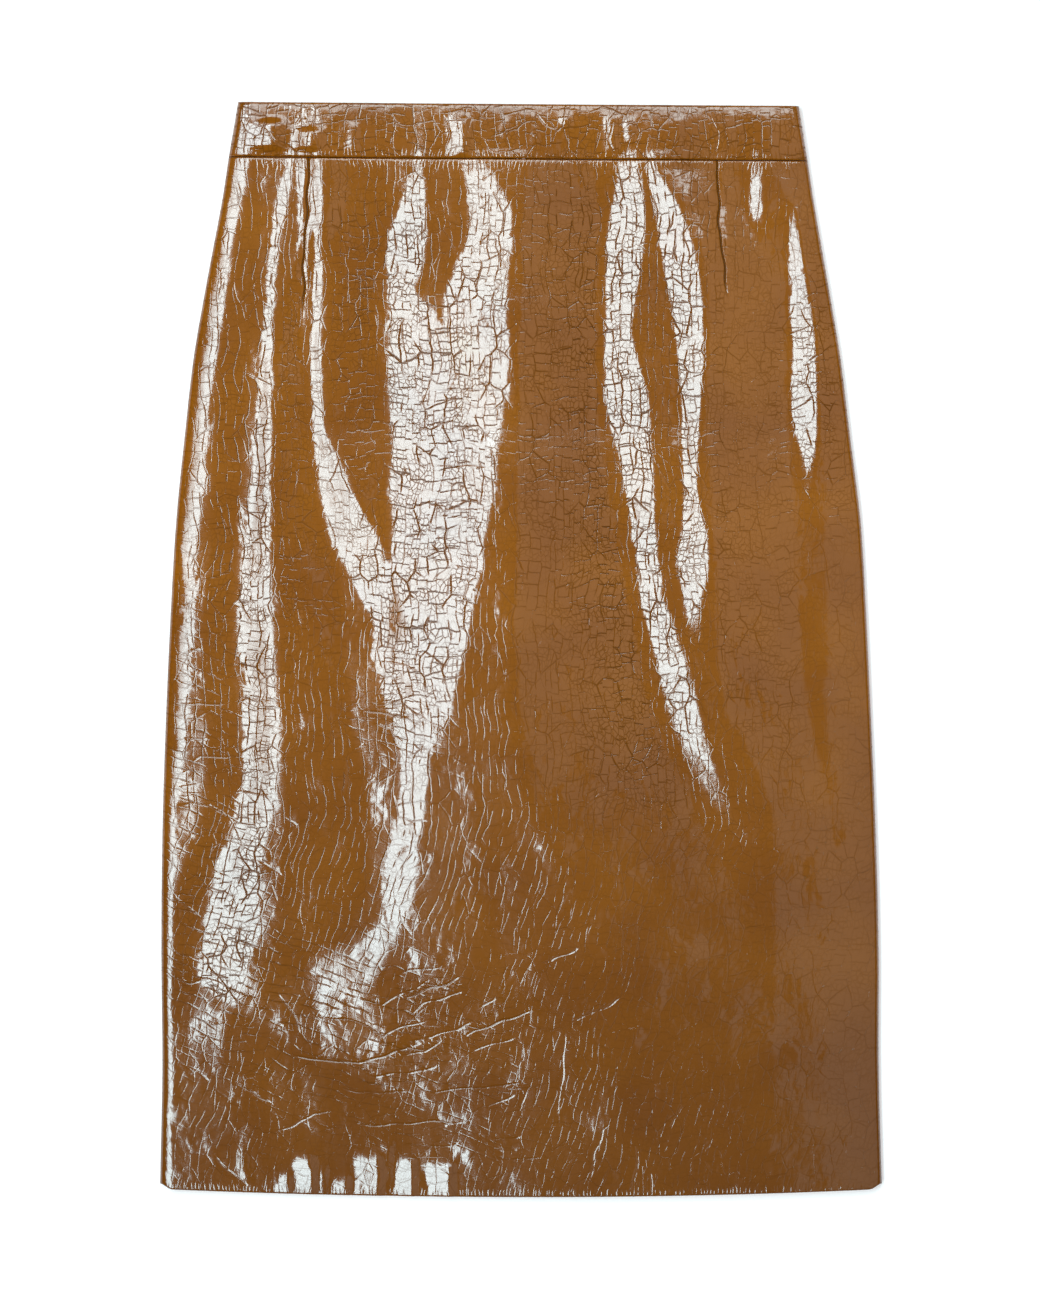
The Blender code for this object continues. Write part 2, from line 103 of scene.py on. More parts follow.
FOLDS = {
    # down, from, to, slope of each side of a soft fold, which rises or falls from left to right
    "left_ridge": (
        (40, -152, -144, 0.05), (63, -157, -148, 0.09), (88, -161, -153, 0.10), (127, -164, -157, 0.09),
        (159, -166, -159, 0.09), (191, -169, -158, 0.11), (254, -173, -160, 0.12), (318, -181, -159, 0.11),
        (382, -178, -157, 0.11), (446, -178, -158, 0.10), (478, -186, -162, 0.09), (510, -196, -166, 0.065),
        (536, -204, -169, 0.050), (574, -211, -178, 0.052), (600, -214, -188, 0.052), (622, -214, -190, 0.03),
        (634, -214, -193, 0.0),
    ),
    "left_of_dart": (
        (39, -144, -136, 0.10), (63, -143, -137, 0.12), (88, -142, -137, 0.12), (139, -141, -138, 0.10),
        (165, -141, -138, 0.0),
    ),
    "right_of_dart": (
        (40, -135, -127, 0.08), (79, -134, -126, 0.11), (203, -134, -126, 0.10), (229, -132, -116, 0.10),
        (254, -128, -104, 0.105), (280, -121, -88, 0.105), (306, -109, -79, 0.10), (331, -97, -72, 0.09),
        (352, -90, -70, 0.0),
    ),
    "main_left": (
        (40, -71, -60, 0.05), (63, -79, -59, 0.10), (88, -86, -59, 0.11), (107, -87, -62, 0.11),
        (120, -87, -66, 0.11), (134, -86, -52, 0.10), (191, -86, -47, 0.092), (254, -84, -48, 0.094),
        (318, -86, -52, 0.098), (376, -90, -62, 0.09),
        (408, -79, -56, 0.08), (452, -79, -60, 0.07), (467, -83, -62, 0.045), (480, -88, -64, 0.062),
        (508, -91, -68, 0.052), (524, -93, -72, 0.034), (536, -106, -76, 0.038), (546, -132, -82, 0.038),
        (558, -139, -86, 0.036), (572, -136, -100, 0.030), (590, -134, -102, 0.0),
    ),
    "main_right": (
        (40, -40, -18, 0.06), (63, -36, -5, 0.105), (88, -37, -3, 0.11), (107, -44, -6, 0.105),
        (127, -52, -6, 0.098), (191, -52, -7, 0.096), (254, -52, -17, 0.10), (318, -57, -28, 0.10),
        (350, -62, -34, 0.09),
        (376, -66, -41, 0.08), (401, -65, -45, 0.03), (433, -65, -45, 0.0),
    ),
    "slim_left": (
        (40, 59, 77, 0.12), (63, 56, 81, 0.16), (88, 52, 81, 0.16), (127, 52, 75, 0.16),
        (146, 52, 73, 0.16), (191, 52, 84, 0.155), (229, 61, 86, 0.155), (280, 70, 89, 0.14),
        (318, 74, 94, 0.125), (344, 81, 104, 0.115), (382, 90, 114, 0.11), (408, 98, 122, 0.085),
        (430, 108, 128, 0.06), (455, 124, 138, 0.04), (480, 140, 150, 0.0),
    ),
    "slim_right": (
        (40, 78, 88, 0.10), (63, 82, 102, 0.15), (88, 86, 112, 0.17), (139, 95, 119, 0.17),
        (191, 100, 117, 0.16), (242, 102, 114, 0.15), (267, 101, 119, 0.16), (293, 96, 122, 0.135),
        (312, 100, 119, 0.12), (331, 103, 117, 0.09), (357, 108, 121, 0.0),
    ),
    "hip_top": ((39, 144, 157, 0.07), (52, 144, 157, 0.11), (66, 144, 157, 0.12), (85, 144, 155, 0.0)),
    "hip": (
        (56, 169, 177, 0.0), (82, 169, 180, 0.14), (127, 169, 187, 0.16), (152, 171, 191, 0.16),
        (203, 171, 191, 0.16), (222, 176, 190, 0.14), (240, 178, 188, 0.07), (258, 180, 187, 0.03),
        (275, 182, 187, 0.0),
    ),
    "left_trough": (
        (127, -191, -166, -0.03), (191, -196, -173, -0.045), (318, -203, -182, -0.05),
        (446, -204, -180, -0.05), (510, -221, -199, -0.06), (560, -224, -206, -0.06),
        (600, -224, -150, -0.04), (640, -224, -70, -0.04), (696, -224, -70, -0.04),
    ),
    "dart_trough": (
        (40, -125, -112, -0.04), (63, -125, -109, -0.05), (127, -155, -135, -0.06), (191, -157, -135, -0.065),
        (254, -159, -128, -0.07), (318, -157, -112, -0.07), (382, -155, -109, -0.06),
        (446, -155, -95, -0.055), (510, -158, -98, -0.05), (574, -170, -128, -0.02), (638, -170, -128, 0.0),
    ),
    "upper_trough": (
        (40, -125, -87, -0.04), (63, -125, -82, -0.05), (127, -125, -90, -0.055), (191, -125, -88, -0.055),
        (254, -105, -85, -0.05), (286, -94, -84, -0.04), (318, -90, -84, 0.0),
    ),
    "centre_fall": (
        (40, -1, 50, -0.05), (63, -1, 50, -0.08), (127, -1, 49, -0.115), (191, -4, 49, -0.12),
        (254, -4, 58, -0.11), (318, -7, 71, -0.10), (382, -7, 86, -0.09), (446, -1, 114, -0.06),
        (491, 25, 137, -0.04), (542, 38, 153, -0.03), (606, 50, 166, -0.015), (696, 50, 166, -0.01),
    ),
    "right_fall": (
        (40, 94, 140, -0.06), (63, 108, 141, -0.12), (127, 122, 167, -0.12), (191, 119, 168, -0.12),
        (254, 122, 175, -0.11), (318, 124, 178, -0.08), (382, 127, 185, -0.06), (446, 156, 197, -0.05),
        (510, 159, 204, -0.045), (696, 159, 204, -0.035),
    ),
    "hip_fall": (
        (40, 159, 169, -0.05), (82, 180, 192, -0.05), (127, 188, 197, -0.08), (191, 192, 203, -0.06),
        (235, 192, 210, -0.02), (318, 192, 210, 0.0),
    ),
}
DARTS = (
    # depth, half width, the points (across, down) that each stitched dart runs through
    (1.75, 2.4, ((-134, 12), (-135, 36), (-138, 88), (-140, 140))),
    (1.75, 2.4, ((124, 14), (125, 36), (127, 84), (132, 130))),
)
ZONES = {
    # across, down, reach across, reach down, strength of each kind of crinkle, added up
    "crackle": (
        (-55, 200, 55, 190, 1.0), (40, 170, 45, 120, 0.5), (85, 190, 45, 190, 1.0),
        (-95, 150, 35, 80, 0.8), (-175, 330, 35, 300, 0.9), (185, 180, 25, 90, 0.8),
        (70, 400, 40, 180, 0.5), (150, 420, 60, 160, 0.35), (-85, 350, 40, 70, 0.7),
        (-190, 550, 35, 60, 0.8),
    ),
    "runs": (
        (-110, 480, 50, 100, 0.7), (-190, 420, 40, 200, 0.8), (-100, 90, 60, 60, 0.8),
        (30, 80, 60, 50, 0.8), (-60, 380, 60, 90, 0.4), (-5, 460, 60, 80, 0.25),
        (130, 80, 60, 50, 0.5), (40, 260, 50, 120, 0.4), (-50, 200, 50, 150, 0.3),
        (85, 200, 40, 180, 0.6), (40, 560, 70, 120, 0.28), (90, 660, 110, 50, 0.25),
        (-175, 200, 30, 150, 0.7), (110, 430, 50, 70, 0.4),
    ),
    "rucks": (
        (-205, 420, 40, 110, 1.0), (-195, 550, 30, 50, 1.0), (-85, 395, 40, 25, 0.9),
        (-60, 620, 130, 80, 0.6), (-130, 560, 70, 60, 0.7), (-40, 220, 35, 60, 0.3),
        (-20, 90, 60, 40, 0.2), (95, 370, 30, 50, 0.25),
    ),
    "band_runs": ((-150, 20, 60, 30, 0.7), (20, 20, 120, 30, 0.6), (150, 20, 60, 30, 0.3)),
    "band_rucks": ((-60, 25, 80, 14, 0.5),),
    "back_rucks": ((180, 440, 60, 90, 0.9), (80, 600, 90, 60, 0.9), (90, 400, 50, 30, 0.6)),
}
BAND_CREASES = (
    # depth, half width, the points (across, down) that a crease of the waistband runs through
    (0.5, 1.5, ((-172, 12), (-160, 20), (-150, 31))),
    (0.4, 1.5, ((-138, 8), (-131, 20), (-129, 32))),
    (0.5, 1.5, ((-50, 6), (-46, 18), (-47, 33))),
    (0.4, 1.5, ((-30, 8), (-36, 20), (-34, 33))),
    (0.4, 1.5, ((8, 5), (16, 14), (27, 18))),
    (0.35, 1.5, ((60, 10), (56, 22), (59, 33))),
    (0.35, 1.5, ((118, 6), (126, 17), (124, 32))),
)
CREASES = (
    # the same, of the front below the waistband
    (0.75, 2.2, ((-152, 608), (-136, 611), (-102, 614), (-82, 607), (-58, 600))),
    (0.50, 2.0, ((-155, 570), (-146, 584), (-140, 595))),
    (0.40, 1.8, ((-161, 586), (-152, 591))),
    (0.60, 2.2, ((-132, 584), (-114, 586), (-97, 591), (-89, 597), (-78, 592), (-58, 587))),
    (0.50, 2.0, ((-105, 573), (-88, 576), (-73, 568), (-58, 561))),
    (0.45, 1.8, ((-117, 630), (-102, 632), (-70, 633))),
    (0.55, 2.0, ((-184, 625), (-173, 631), (-167, 637), (-158, 642))),
    (0.45, 1.8, ((-159, 658), (-146, 655), (-132, 646), (-120, 646))),
    (0.50, 2.0, ((-114, 651), (-95, 654), (-80, 653), (-36, 652))),
    (0.40, 1.8, ((-77, 666), (-62, 666), (-42, 669))),
    (0.45, 1.8, ((-196, 673), (-185, 683), (-176, 695))),
    (0.50, 2.0, ((-217, 560), (-212, 563), (-198, 559))),
    (0.40, 1.8, ((-206, 621), (-200, 626))),
    (0.40, 1.8, ((-172, 616), (-161, 620))),
    (0.45, 1.8, ((-100, 619), (-93, 624), (-75, 621), (-52, 616))),
    (0.50, 2.0, ((-77, 557), (-51, 553))),
    (0.80, 2.2, ((-77, 574), (-59, 566), (-38, 559))),
    (0.55, 2.0, ((-70, 582), (-62, 576), (-37, 568))),
    (0.50, 2.0, ((-75, 602), (-62, 599), (-30, 588))),
    (0.75, 2.2, ((-37, 596), (-19, 590), (-11, 586), (7, 581))),
    (0.50, 2.0, ((-77, 609), (-61, 607), (-50, 600))),
    (0.50, 1.8, ((-33, 607), (-15, 601), (-3, 598))),
    (0.50, 2.0, ((-59, 634), (-43, 631), (-25, 630), (4, 627))),
    (0.40, 1.8, ((-23, 642), (-3, 634))),
    (0.30, 2.0, ((-77, 678), (-52, 681), (-43, 687))),
    (0.18, 1.8, ((6, 627), (0, 640), (-1, 647))),
    (0.20, 2.2, ((29, 591), (27, 615), (25, 637), (23, 658))),
    (0.20, 2.0, ((60, 652), (52, 657), (47, 672), (43, 692))),
    (0.45, 1.8, ((12, 550), (20, 549), (36, 540))),
    (0.45, 2.0, ((31, 589), (56, 577), (66, 571))),
    (0.40, 1.8, ((-27, 579), (-17, 573))),
    (0.35, 1.8, ((-17, 664), (-1, 661))),
    (0.40, 2.0, ((-18, 673), (-5, 676), (14, 675))),
    (0.20, 1.8, ((75, 664), (70, 699))),
    (0.20, 1.8, ((83, 683), (82, 699))),
    (0.20, 1.8, ((105, 640), (95, 657))),
    (0.45, 2.0, ((-217, 352), (-203, 349))),
    (0.60, 2.2, ((-221, 385), (-188, 385))),
    (0.50, 2.0, ((-217, 407), (-199, 407))),
    (0.50, 2.0, ((-210, 422), (-205, 419), (-185, 418))),
    (0.45, 1.8, ((-218, 437), (-205, 437))),
    (0.50, 2.0, ((-219, 448), (-199, 449), (-187, 455))),
    (0.55, 2.0, ((-184, 442), (-162, 442))),
    (0.40, 1.8, ((-176, 382), (-160, 382))),
    (0.40, 1.8, ((-153, 456), (-143, 462))),
    (0.50, 2.0, ((-221, 506), (-207, 520))),
    (0.45, 2.0, ((-168, 485), (-153, 493))),
    (0.40, 1.8, ((-160, 501), (-155, 511))),
    (0.60, 2.4, ((-103, 388), (-88, 391), (-68, 393))),
    (0.50, 2.0, ((-95, 398), (-84, 401), (-78, 412))),
    (0.45, 1.8, ((-90, 383), (-72, 383))),
    (0.50, 2.0, ((-89, 358), (-74, 359), (-65, 364))),
    (0.45, 2.0, ((-82, 443), (-79, 455), (-69, 460), (-59, 460))),
    (0.40, 1.8, ((-58, 184), (-13, 184))),
    (0.45, 1.8, ((-58, 232), (-20, 233))),
    (0.40, 1.8, ((-61, 254), (-17, 256))),
    (0.35, 1.6, ((-58, 264), (-26, 266))),
)


def smooth_curve(rows, column, where):
    """A column of a table as a smooth curve over its first column, level beyond the table."""
    knots = np.array([row[0] for row in rows], float)
    values = np.array([row[column] for row in rows], float)
    where = np.clip(where, knots[0], knots[-1])
    last = len(knots) - 1
    i = np.clip(np.searchsorted(knots, where, side="right") - 1, 0, last - 1)
    low, high = np.maximum(np.arange(last + 1) - 1, 0), np.minimum(np.arange(last + 1) + 1, last)
    slope = (values[high] - values[low]) / (knots[high] - knots[low])
    span = knots[i + 1] - knots[i]
    t = (where - knots[i]) / span
    line = values[i] * (2 * t**3 - 3 * t**2 + 1) + values[i + 1] * (3 * t**2 - 2 * t**3)
    return line + span * (slope[i] * (t**3 - 2 * t**2 + t) + slope[i + 1] * (t**3 - t**2))


def ease(share):
    """0 up to 0, 1 from 1, and a smooth climb between."""
    share = np.clip(share, 0.0, 1.0)
    return share * share * (3 - 2 * share)


def ramp(share, bend):
    """0 up to 0 and 1 from 1, with a steady climb between but for the bends at its ends."""
    share = np.clip(share, 0.0, 1.0)
    steep = 1 / (1 - bend)
    middle_part = steep * (share - bend / 2)
    first = steep * share * share / (2 * bend)
    final = 1 - steep * (1 - share) ** 2 / (2 * bend)
    return np.where(share < bend, first, np.where(share > 1 - bend, final, middle_part))


def hem_edge(share):
    corner = ease((np.abs(share) - 1 + CORNER_SHARE) / CORNER_SHARE)
    return LENGTH - HEM_RISE * share**2 - HEM_CORNER * corner


def waist_edge(share):
    return WAIST_DIP * (1 - share**2) + WAIST_TILT * (1 + share) / 2


def panel_down(share, level):
    """Down to a point of a panel, whose level runs from the waistband seam to LENGTH at the hem."""
    top = waist_edge(share) + PANEL_TOP
    return top + (hem_edge(share) - top) * (level - PANEL_TOP) / (LENGTH - PANEL_TOP)


def roll_run(slope):
    """How far in from the side edge a roll ends."""
    return FRONT_ROLL * (1 - math.sin(math.atan(slope)))


def shoulder(inward, width, slope):
    """Height gained this far in from a roll, with a slope that dies away over the width."""
    share = np.clip(inward / width, 0.0, 1.0)
    return slope * width * (share - share * share / 2)


def front_height(across, level):
    """Height of the front's outer face between its rolls. Across is measured from the middle."""
    half = smooth_curve(OUTLINE, 1, level)
    place = across + smooth_curve(OUTLINE, 2, level)
    share = np.clip(across / half, -1.0, 1.0)
    passed = (share + 1) / 2
    left_wide, right_wide = smooth_curve(SHOULDERS, 1, level), smooth_curve(SHOULDERS, 2, level)
    left = FRONT_ROLL * math.cos(math.atan(LEFT_SLOPE))
    left = left + shoulder(half + across - roll_run(LEFT_SLOPE), left_wide, LEFT_SLOPE)
    right = FRONT_ROLL * math.cos(math.atan(RIGHT_SLOPE))
    right = right + shoulder(half - across - roll_run(RIGHT_SLOPE), right_wide, RIGHT_SLOPE)
    height = SEAM_HEIGHT + SEAM_STAND + left + (right - left) * passed
    height = height + smooth_curve(SHOULDERS, 3, level) * (1 - share * share) ** 2
    for rows in FOLDS.values():
        start, end = smooth_curve(rows, 1, level), smooth_curve(rows, 2, level)
        rise = (end - start) * np.interp(level, [row[0] for row in rows], [row[3] for row in rows])
        bend = np.clip(FOLD_BEND / (end - start), 0.1, 0.45)
        height = height + rise * (ramp((place - start) / (end - start), bend) - passed)
    return height


def soft_noise(across, down, wide, long, seed):
    """Smooth noise from -1 to 1 with lumps of this size."""
    across, down = np.broadcast_arrays(across, down)
    places = zip((across / wide).ravel(), (down / long).ravel())
    values = [noise.noise(Vector((x, y, seed))) for x, y in places]
    return np.array(values).reshape(across.shape)


def zone(name, across, down):
    """How strong a kind of crinkle is at each point, from 0 to 1."""
    total = np.zeros(across.shape)
    for x, y, wide, long, strength in ZONES[name]:
        total += strength * np.exp(-(((across - x) / wide) ** 2) - ((down - y) / long) ** 2)
    return np.clip(total, 0.0, 1.0)


CREASE_DRIFT = 2.2  # how far the creases drift off their routes, and over what size
DRIFT_SIZE = 14.0
CREASE_MODELLED = 0.26  # part of a crease's depth in the mesh, where the material adds a sharp line
CREASE_LIP = 0.7  # how strong the soft lip beside it is
CREASE_LEAST = 0.1  # part of its depth that is left at its very ends
CREASE_END = 0.25  # part of its length over which it fades there, in the mesh
LINE_END = 0.15  # and in the material
LINE_REACH = 6.0  # from a crease, past which the material finds none
FAR = 30.0  # offset of a point that has no crease near it


def wander(across, down):
    """The place with a small drift, so that a crease between two points isn't straight."""
    return (
        across + CREASE_DRIFT * soft_noise(across, down, DRIFT_SIZE, DRIFT_SIZE, 21.0),
        down + CREASE_DRIFT * soft_noise(across, down, DRIFT_SIZE, DRIFT_SIZE, 23.0),
    )


def beside_route(route, across, down):
    """How far each point is from a route, how far to its side, and at which share of its length."""
    nearest = np.full(across.shape, np.inf)
    offset, share = np.zeros(across.shape), np.zeros(across.shape)
    legs = [math.dist(a, b) for a, b in zip(route, route[1:])]
    gone = 0.0
    for (x0, y0), (x1, y1), leg in zip(route, route[1:], legs):
        run_x, run_y = (x1 - x0) / leg, (y1 - y0) / leg
        along = (across - x0) * run_x + (down - y0) * run_y
        aside = (across - x0) * run_y - (down - y0) * run_x
        within = np.clip(along, 0.0, leg)
        away = np.hypot(aside, along - within)
        aside = np.where(np.abs(along - within) > 0.5, np.copysign(away, aside), aside)
        closer = away < nearest
        nearest = np.where(closer, away, nearest)
        offset = np.where(closer, aside, offset)
        share = np.where(closer, (gone + within) / sum(legs), share)
        gone += leg
    return nearest, offset, share


def between_ends(share, fade):
    """1 along the middle of a route, and down to 0 at both of its ends."""
    return ease(share / fade) * ease((1 - share) / fade)


def crease_relief(creases, across, down):
    """Troughs along the creases, which fade at their ends and push up a soft lip on both sides."""
    across, down = wander(across, down)
    relief = np.zeros(across.shape)
    for depth, half_wide, route in creases:
        nearest, _, share = beside_route(route, across, down)
        left = CREASE_LEAST + (1 - CREASE_LEAST) * between_ends(share, CREASE_END)
        near = (nearest / half_wide) ** 2
        relief -= CREASE_MODELLED * depth * left * (1 - CREASE_LIP * near) * np.exp(-near)
    return relief


def crease_lines(creases, across, down):
    """How far to the side of its nearest crease each point lies, and how deep that crease is there."""
    across, down = wander(across, down)
    nearest, offset = np.full(across.shape, FAR), np.full(across.shape, FAR)
    deep = np.zeros(across.shape)
    for depth, _, route in creases:
        away, aside, share = beside_route(route, across, down)
        closer = away < nearest
        nearest = np.where(closer, away, nearest)
        offset = np.where(closer, aside, offset)
        deep = np.where(closer, depth * between_ends(share, LINE_END), deep)
    return {"crease": offset, "crease_depth": np.where(nearest < LINE_REACH, deep, 0.0)}


DENT_EDGE = 7.0  # length over which a dent fades at its top and at its bottom
HEM_DENTS = (
    # from, to, top, bottom and slope of shallow dents, which rise to the right and fall again
    (-157, -147, 686, 704, 0.075), (-147, -133, 675, 704, 0.085), (-133, -124, 681, 700, 0.080),
    (-124, -110, 688, 704, 0.085), (-107, -90, 673, 704, 0.090), (-90, -83, 668, 696, 0.090),
    (-83, -68, 676, 704, 0.095), (-68, -62, 684, 704, 0.085), (-62, -45, 679, 704, 0.095),
    (-182, -175, 668, 690, 0.060),
)
HEM_DENT_FALL = 0.15  # width of a dent's fall, as a share of its climb
DENT_BENDS = (0.1, 0.4)  # how soft the ends of its climb and of its fall are


def dents(rows, fall, across, down):
    """Height of the plates between shallow dents, each of which climbs slowly and falls back fast."""
    relief = np.zeros(np.broadcast_shapes(across.shape, down.shape))
    for start, end, top, bottom, slope in rows:
        share = (across - start) / (end - start)
        climb = ramp(share, DENT_BENDS[0]) - ramp((share - 1.0) / fall, DENT_BENDS[1])
        window = ease((down - top) / DENT_EDGE + 0.5) * ease((bottom - down) / DENT_EDGE + 0.5)
        relief += slope * (end - start) * climb * window
    return relief


WAVES = (
    # height, how much higher where the cracks run along the leather, size across and down, seed
    (0.07, 0.0, 17.0, 34.0, 3.0),
    (0.02, 0.0, 7.0, 11.0, 5.0),
    (0.008, 0.035, 5.5, 26.0, 7.0),
)
CALM_PLACES = (
    # starts at this far down, over this length; at this far across, over this width; how much calmer
    (590.0, 40.0, -175.0, 30.0, 0.75),
    (420.0, 80.0, -60.0, 50.0, 0.8),
)
RUCK_HEIGHT = 0.06  # of the waves where the leather is rucked across
RUCK_LEAN = 0.3
RUCK_SIZE = (18.0, 5.5)


def front_relief(across, down):
    """The crinkles that are more than skin deep, on top of the folds."""
    runs, rucks = zone("runs", across, down), zone("rucks", across, down)
    calmed = 1.0
    for top, length, left, width, calmer in CALM_PLACES:
        calmed = calmed * (1 - calmer * ease((down - top) / length) * ease((across - left) / width))
    relief = RUCK_HEIGHT * rucks * soft_noise(across + RUCK_LEAN * down, down, *RUCK_SIZE, 9.0)
    for height, higher, wide, long, seed in WAVES:
        relief += (height + higher * runs) * calmed * soft_noise(across, down, wide, long, seed)
    relief += dents(HEM_DENTS, HEM_DENT_FALL, *wander(across, down))
    return relief + crease_relief(CREASES + DARTS, across, down)


def quarter_turn(steps):
    """Angles of a rounded edge, from the edge itself to where the face starts."""
    return [math.pi / 2 * i / steps for i in range(steps + 1)]


EDGE_STEPS = 4
SEAM_ROUND = 0.5  # radius of a leather edge at a side seam
TUCKS = (1.0, 0.6, 0.25)  # parts of the quarter turn into a side seam
ROLL_TURNS = (1.0, 0.86, 0.72, 0.57, 0.42, 0.28, 0.14)


def front_columns(steps):
    """The columns across the front: place between the rolls, turn round a roll, and tuck at its seam."""
    places = np.linspace(-1.0, 1.0, steps + 1)
    tucked = [(-1.0, -1.0, tuck) for tuck in TUCKS] + [(-1.0, -turn, 0.0) for turn in ROLL_TURNS]
    other = [(1.0, -turn, tuck) for _, turn, tuck in reversed(tucked)]
    return np.array(tucked + [(place, 0.0, 0.0) for place in places] + other).T


def front_points(columns, levels, height, sink, wall):
    """(across, up, lean) of the front's section at each level, wall inside its outer face."""
    places, turns, tucks = columns
    side = np.sign(turns)
    half = smooth_curve(OUTLINE, 1, levels)
    ends = -half + roll_run(LEFT_SLOPE), half - roll_run(RIGHT_SLOPE)
    top = ends[0] + (ends[1] - ends[0]) * (places + 1) / 2
    start = np.arctan(np.where(turns < 0, LEFT_SLOPE, RIGHT_SLOPE))
    lean = np.where(turns == 0, 0.0, start + (math.pi / 2 - start) * np.abs(turns))
    across = np.where(turns == 0, top, side * (half - FRONT_ROLL * (1 - np.sin(lean))))
    base = SEAM_HEIGHT + SEAM_STAND
    face = height(top, levels) - sink
    up = np.where(turns == 0, face, base + (face - base) * np.cos(lean) / np.cos(start))
    across = across - side * wall * np.sin(lean) - side * SEAM_ROUND * (1 - np.cos(tucks * math.pi / 2))
    up = up - wall * np.cos(lean)
    seam = SEAM_HEIGHT + SEAM_ROUND * (1 - np.sin(tucks * math.pi / 2))
    return across, np.where(tucks > 0, seam, up), lean


def edged_levels(start, end, steps, start_round, end_round):
    """Levels with rounded ends, and how far the face sinks at each of them."""
    turns = quarter_turn(EDGE_STEPS)
    first = [(start + start_round * (1 - math.cos(a)), start_round * (1 - math.sin(a))) for a in turns]
    final = [(end - end_round * (1 - math.cos(a)), end_round * (1 - math.sin(a))) for a in reversed(turns)]
    inner = np.linspace(start + start_round, end - end_round, steps + 1)[1:-1]
    pairs = first + [(level, 0.0) for level in inner] + final
    return np.array(pairs)[:, :1], np.array(pairs)[:, 1:]


def in_place(across, down, up):
    return np.stack((across, LENGTH / 2 - down, up), axis=-1) * MM


def cut_map(outer, levels):
    """Where each point lies on the flat cut, in metres, with across measured along the leather."""
    steps = np.hypot(np.diff(outer[..., 0], axis=1), np.diff(outer[..., 2], axis=1))
    along = np.concatenate((np.zeros((len(outer), 1)), np.cumsum(steps, axis=1)), axis=1)
    along -= along[:, along.shape[1] // 2][:, None]
    return np.stack((along, np.broadcast_to((LENGTH / 2 - levels) * MM, along.shape)), axis=-1)


def cloth_wall(name, outer, inner, cut, crinkles, finishes):
    """A closed wall of cloth between an outer face and a coarser inner one.

    Each face is a grid of points, and the rim between their edges is bridged. The crinkles are
    numbers for the material, one for each point of the outer face.
    """
    form = bmesh.new()
    for points in (outer, inner):
        rows, columns = points.shape[:2]
        grid = bmesh.ops.create_grid(form, x_segments=columns - 1, y_segments=rows - 1, size=0.5)["verts"]
        for vertex, place in zip(grid, points.reshape(-1, 3)):
            vertex.co = place
    form.faces.ensure_lookup_table()
    outer_faces = (outer.shape[0] - 1) * (outer.shape[1] - 1)
    for face in form.faces[outer_faces:]:
        face.material_index = 1
    rim = [edge for edge in form.edges if edge.is_boundary]
    bmesh.ops.bridge_loops(form, edges=rim)
    bmesh.ops.recalc_face_normals(form, faces=form.faces)
    mesh = bpy.data.meshes.new(name)
    form.to_mesh(mesh)
    form.free()
    outer_points = outer.shape[0] * outer.shape[1]
    spots = np.zeros((len(mesh.vertices), 2))
    spots[:outer_points] = cut.reshape(-1, 2)
    spots[outer_points:] = [vertex.co[:2] for vertex in mesh.vertices[outer_points:]]
    corners = np.zeros(len(mesh.loops), int)
    mesh.loops.foreach_get("vertex_index", corners)
    mesh.uv_layers.new(name="cut").data.foreach_set("uv", spots[corners].ravel())
    for kind, values in crinkles.items():
        whole = np.zeros(len(mesh.vertices))
        whole[: values.size] = values.ravel()
        mesh.attributes.new(kind, "FLOAT", "POINT").data.foreach_set("value", whole)
    for finish in finishes:
        mesh.materials.append(finish)
    mesh.shade_smooth()
    mesh.update()
    made = bpy.data.objects.new(name, mesh)
    bpy.context.scene.collection.objects.link(made)
    return made


def colour(hex_code):
    """An sRGB hex colour in linear light."""
    parts = [int(hex_code[i : i + 2], 16) / 255 for i in (1, 3, 5)]
    return (*[part / 12.92 if part <= 0.04045 else ((part + 0.055) / 1.055) ** 2.4 for part in parts], 1.0)


def feed(tree, node, settings, links):
    """Give a node its settings, by attribute or by input, and link sockets to its inputs."""
    for key, value in settings.items():
        if isinstance(key, int) or key in node.inputs:
            node.inputs[key].default_value = value
        else:
            setattr(node, key, value)
    for key, socket in links.items():
        tree.links.new(socket, node.inputs[key])


def add_node(tree, kind, settings, links):
    node = tree.nodes.new("ShaderNode" + kind)
    feed(tree, node, settings, links)
    return node


def new_material(name):
    made = bpy.data.materials.new(name)
    made.use_nodes = True
    return made, made.node_tree, made.node_tree.nodes["Principled BSDF"]


def vector_math(tree, operation, first, second):
    """The outputs for a socket and a factor, three numbers or another socket."""
    settings, links = {"operation": operation}, {0: first}
    if isinstance(second, float):
        settings["Scale"] = second
    elif isinstance(second, tuple):
        settings[1] = second
    else:
        links[1] = second
    return add_node(tree, "VectorMath", settings, links).outputs


def map_range(tree, value, settings):
    return add_node(tree, "MapRange", settings, {"Value": value}).outputs["Result"]


def noise_on_cut(tree, spot, scale, detail=1.0):
    settings = {"noise_dimensions": "2D", "Scale": scale, "Detail": detail}
    return add_node(tree, "TexNoise", settings, {"Vector": spot}).outputs


def noise_in_space(tree, scale, detail):
    where = add_node(tree, "TexCoord", {}, {}).outputs["Object"]
    return add_node(tree, "TexNoise", {"Scale": scale, "Detail": detail}, {"Vector": where}).outputs["Fac"]


def blend(tree, share, low, high):
    """From one hex colour to another, as the share goes from 0 to 1."""
    tones = {"data_type": "RGBA", 6: colour(low), 7: colour(high)}
    return add_node(tree, "Mix", tones, {0: share}).outputs[2]


def bumped(tree, height, strength, distance):
    settings = {"Strength": strength, "Distance": distance}
    return add_node(tree, "Bump", settings, {"Height": height}).outputs["Normal"]


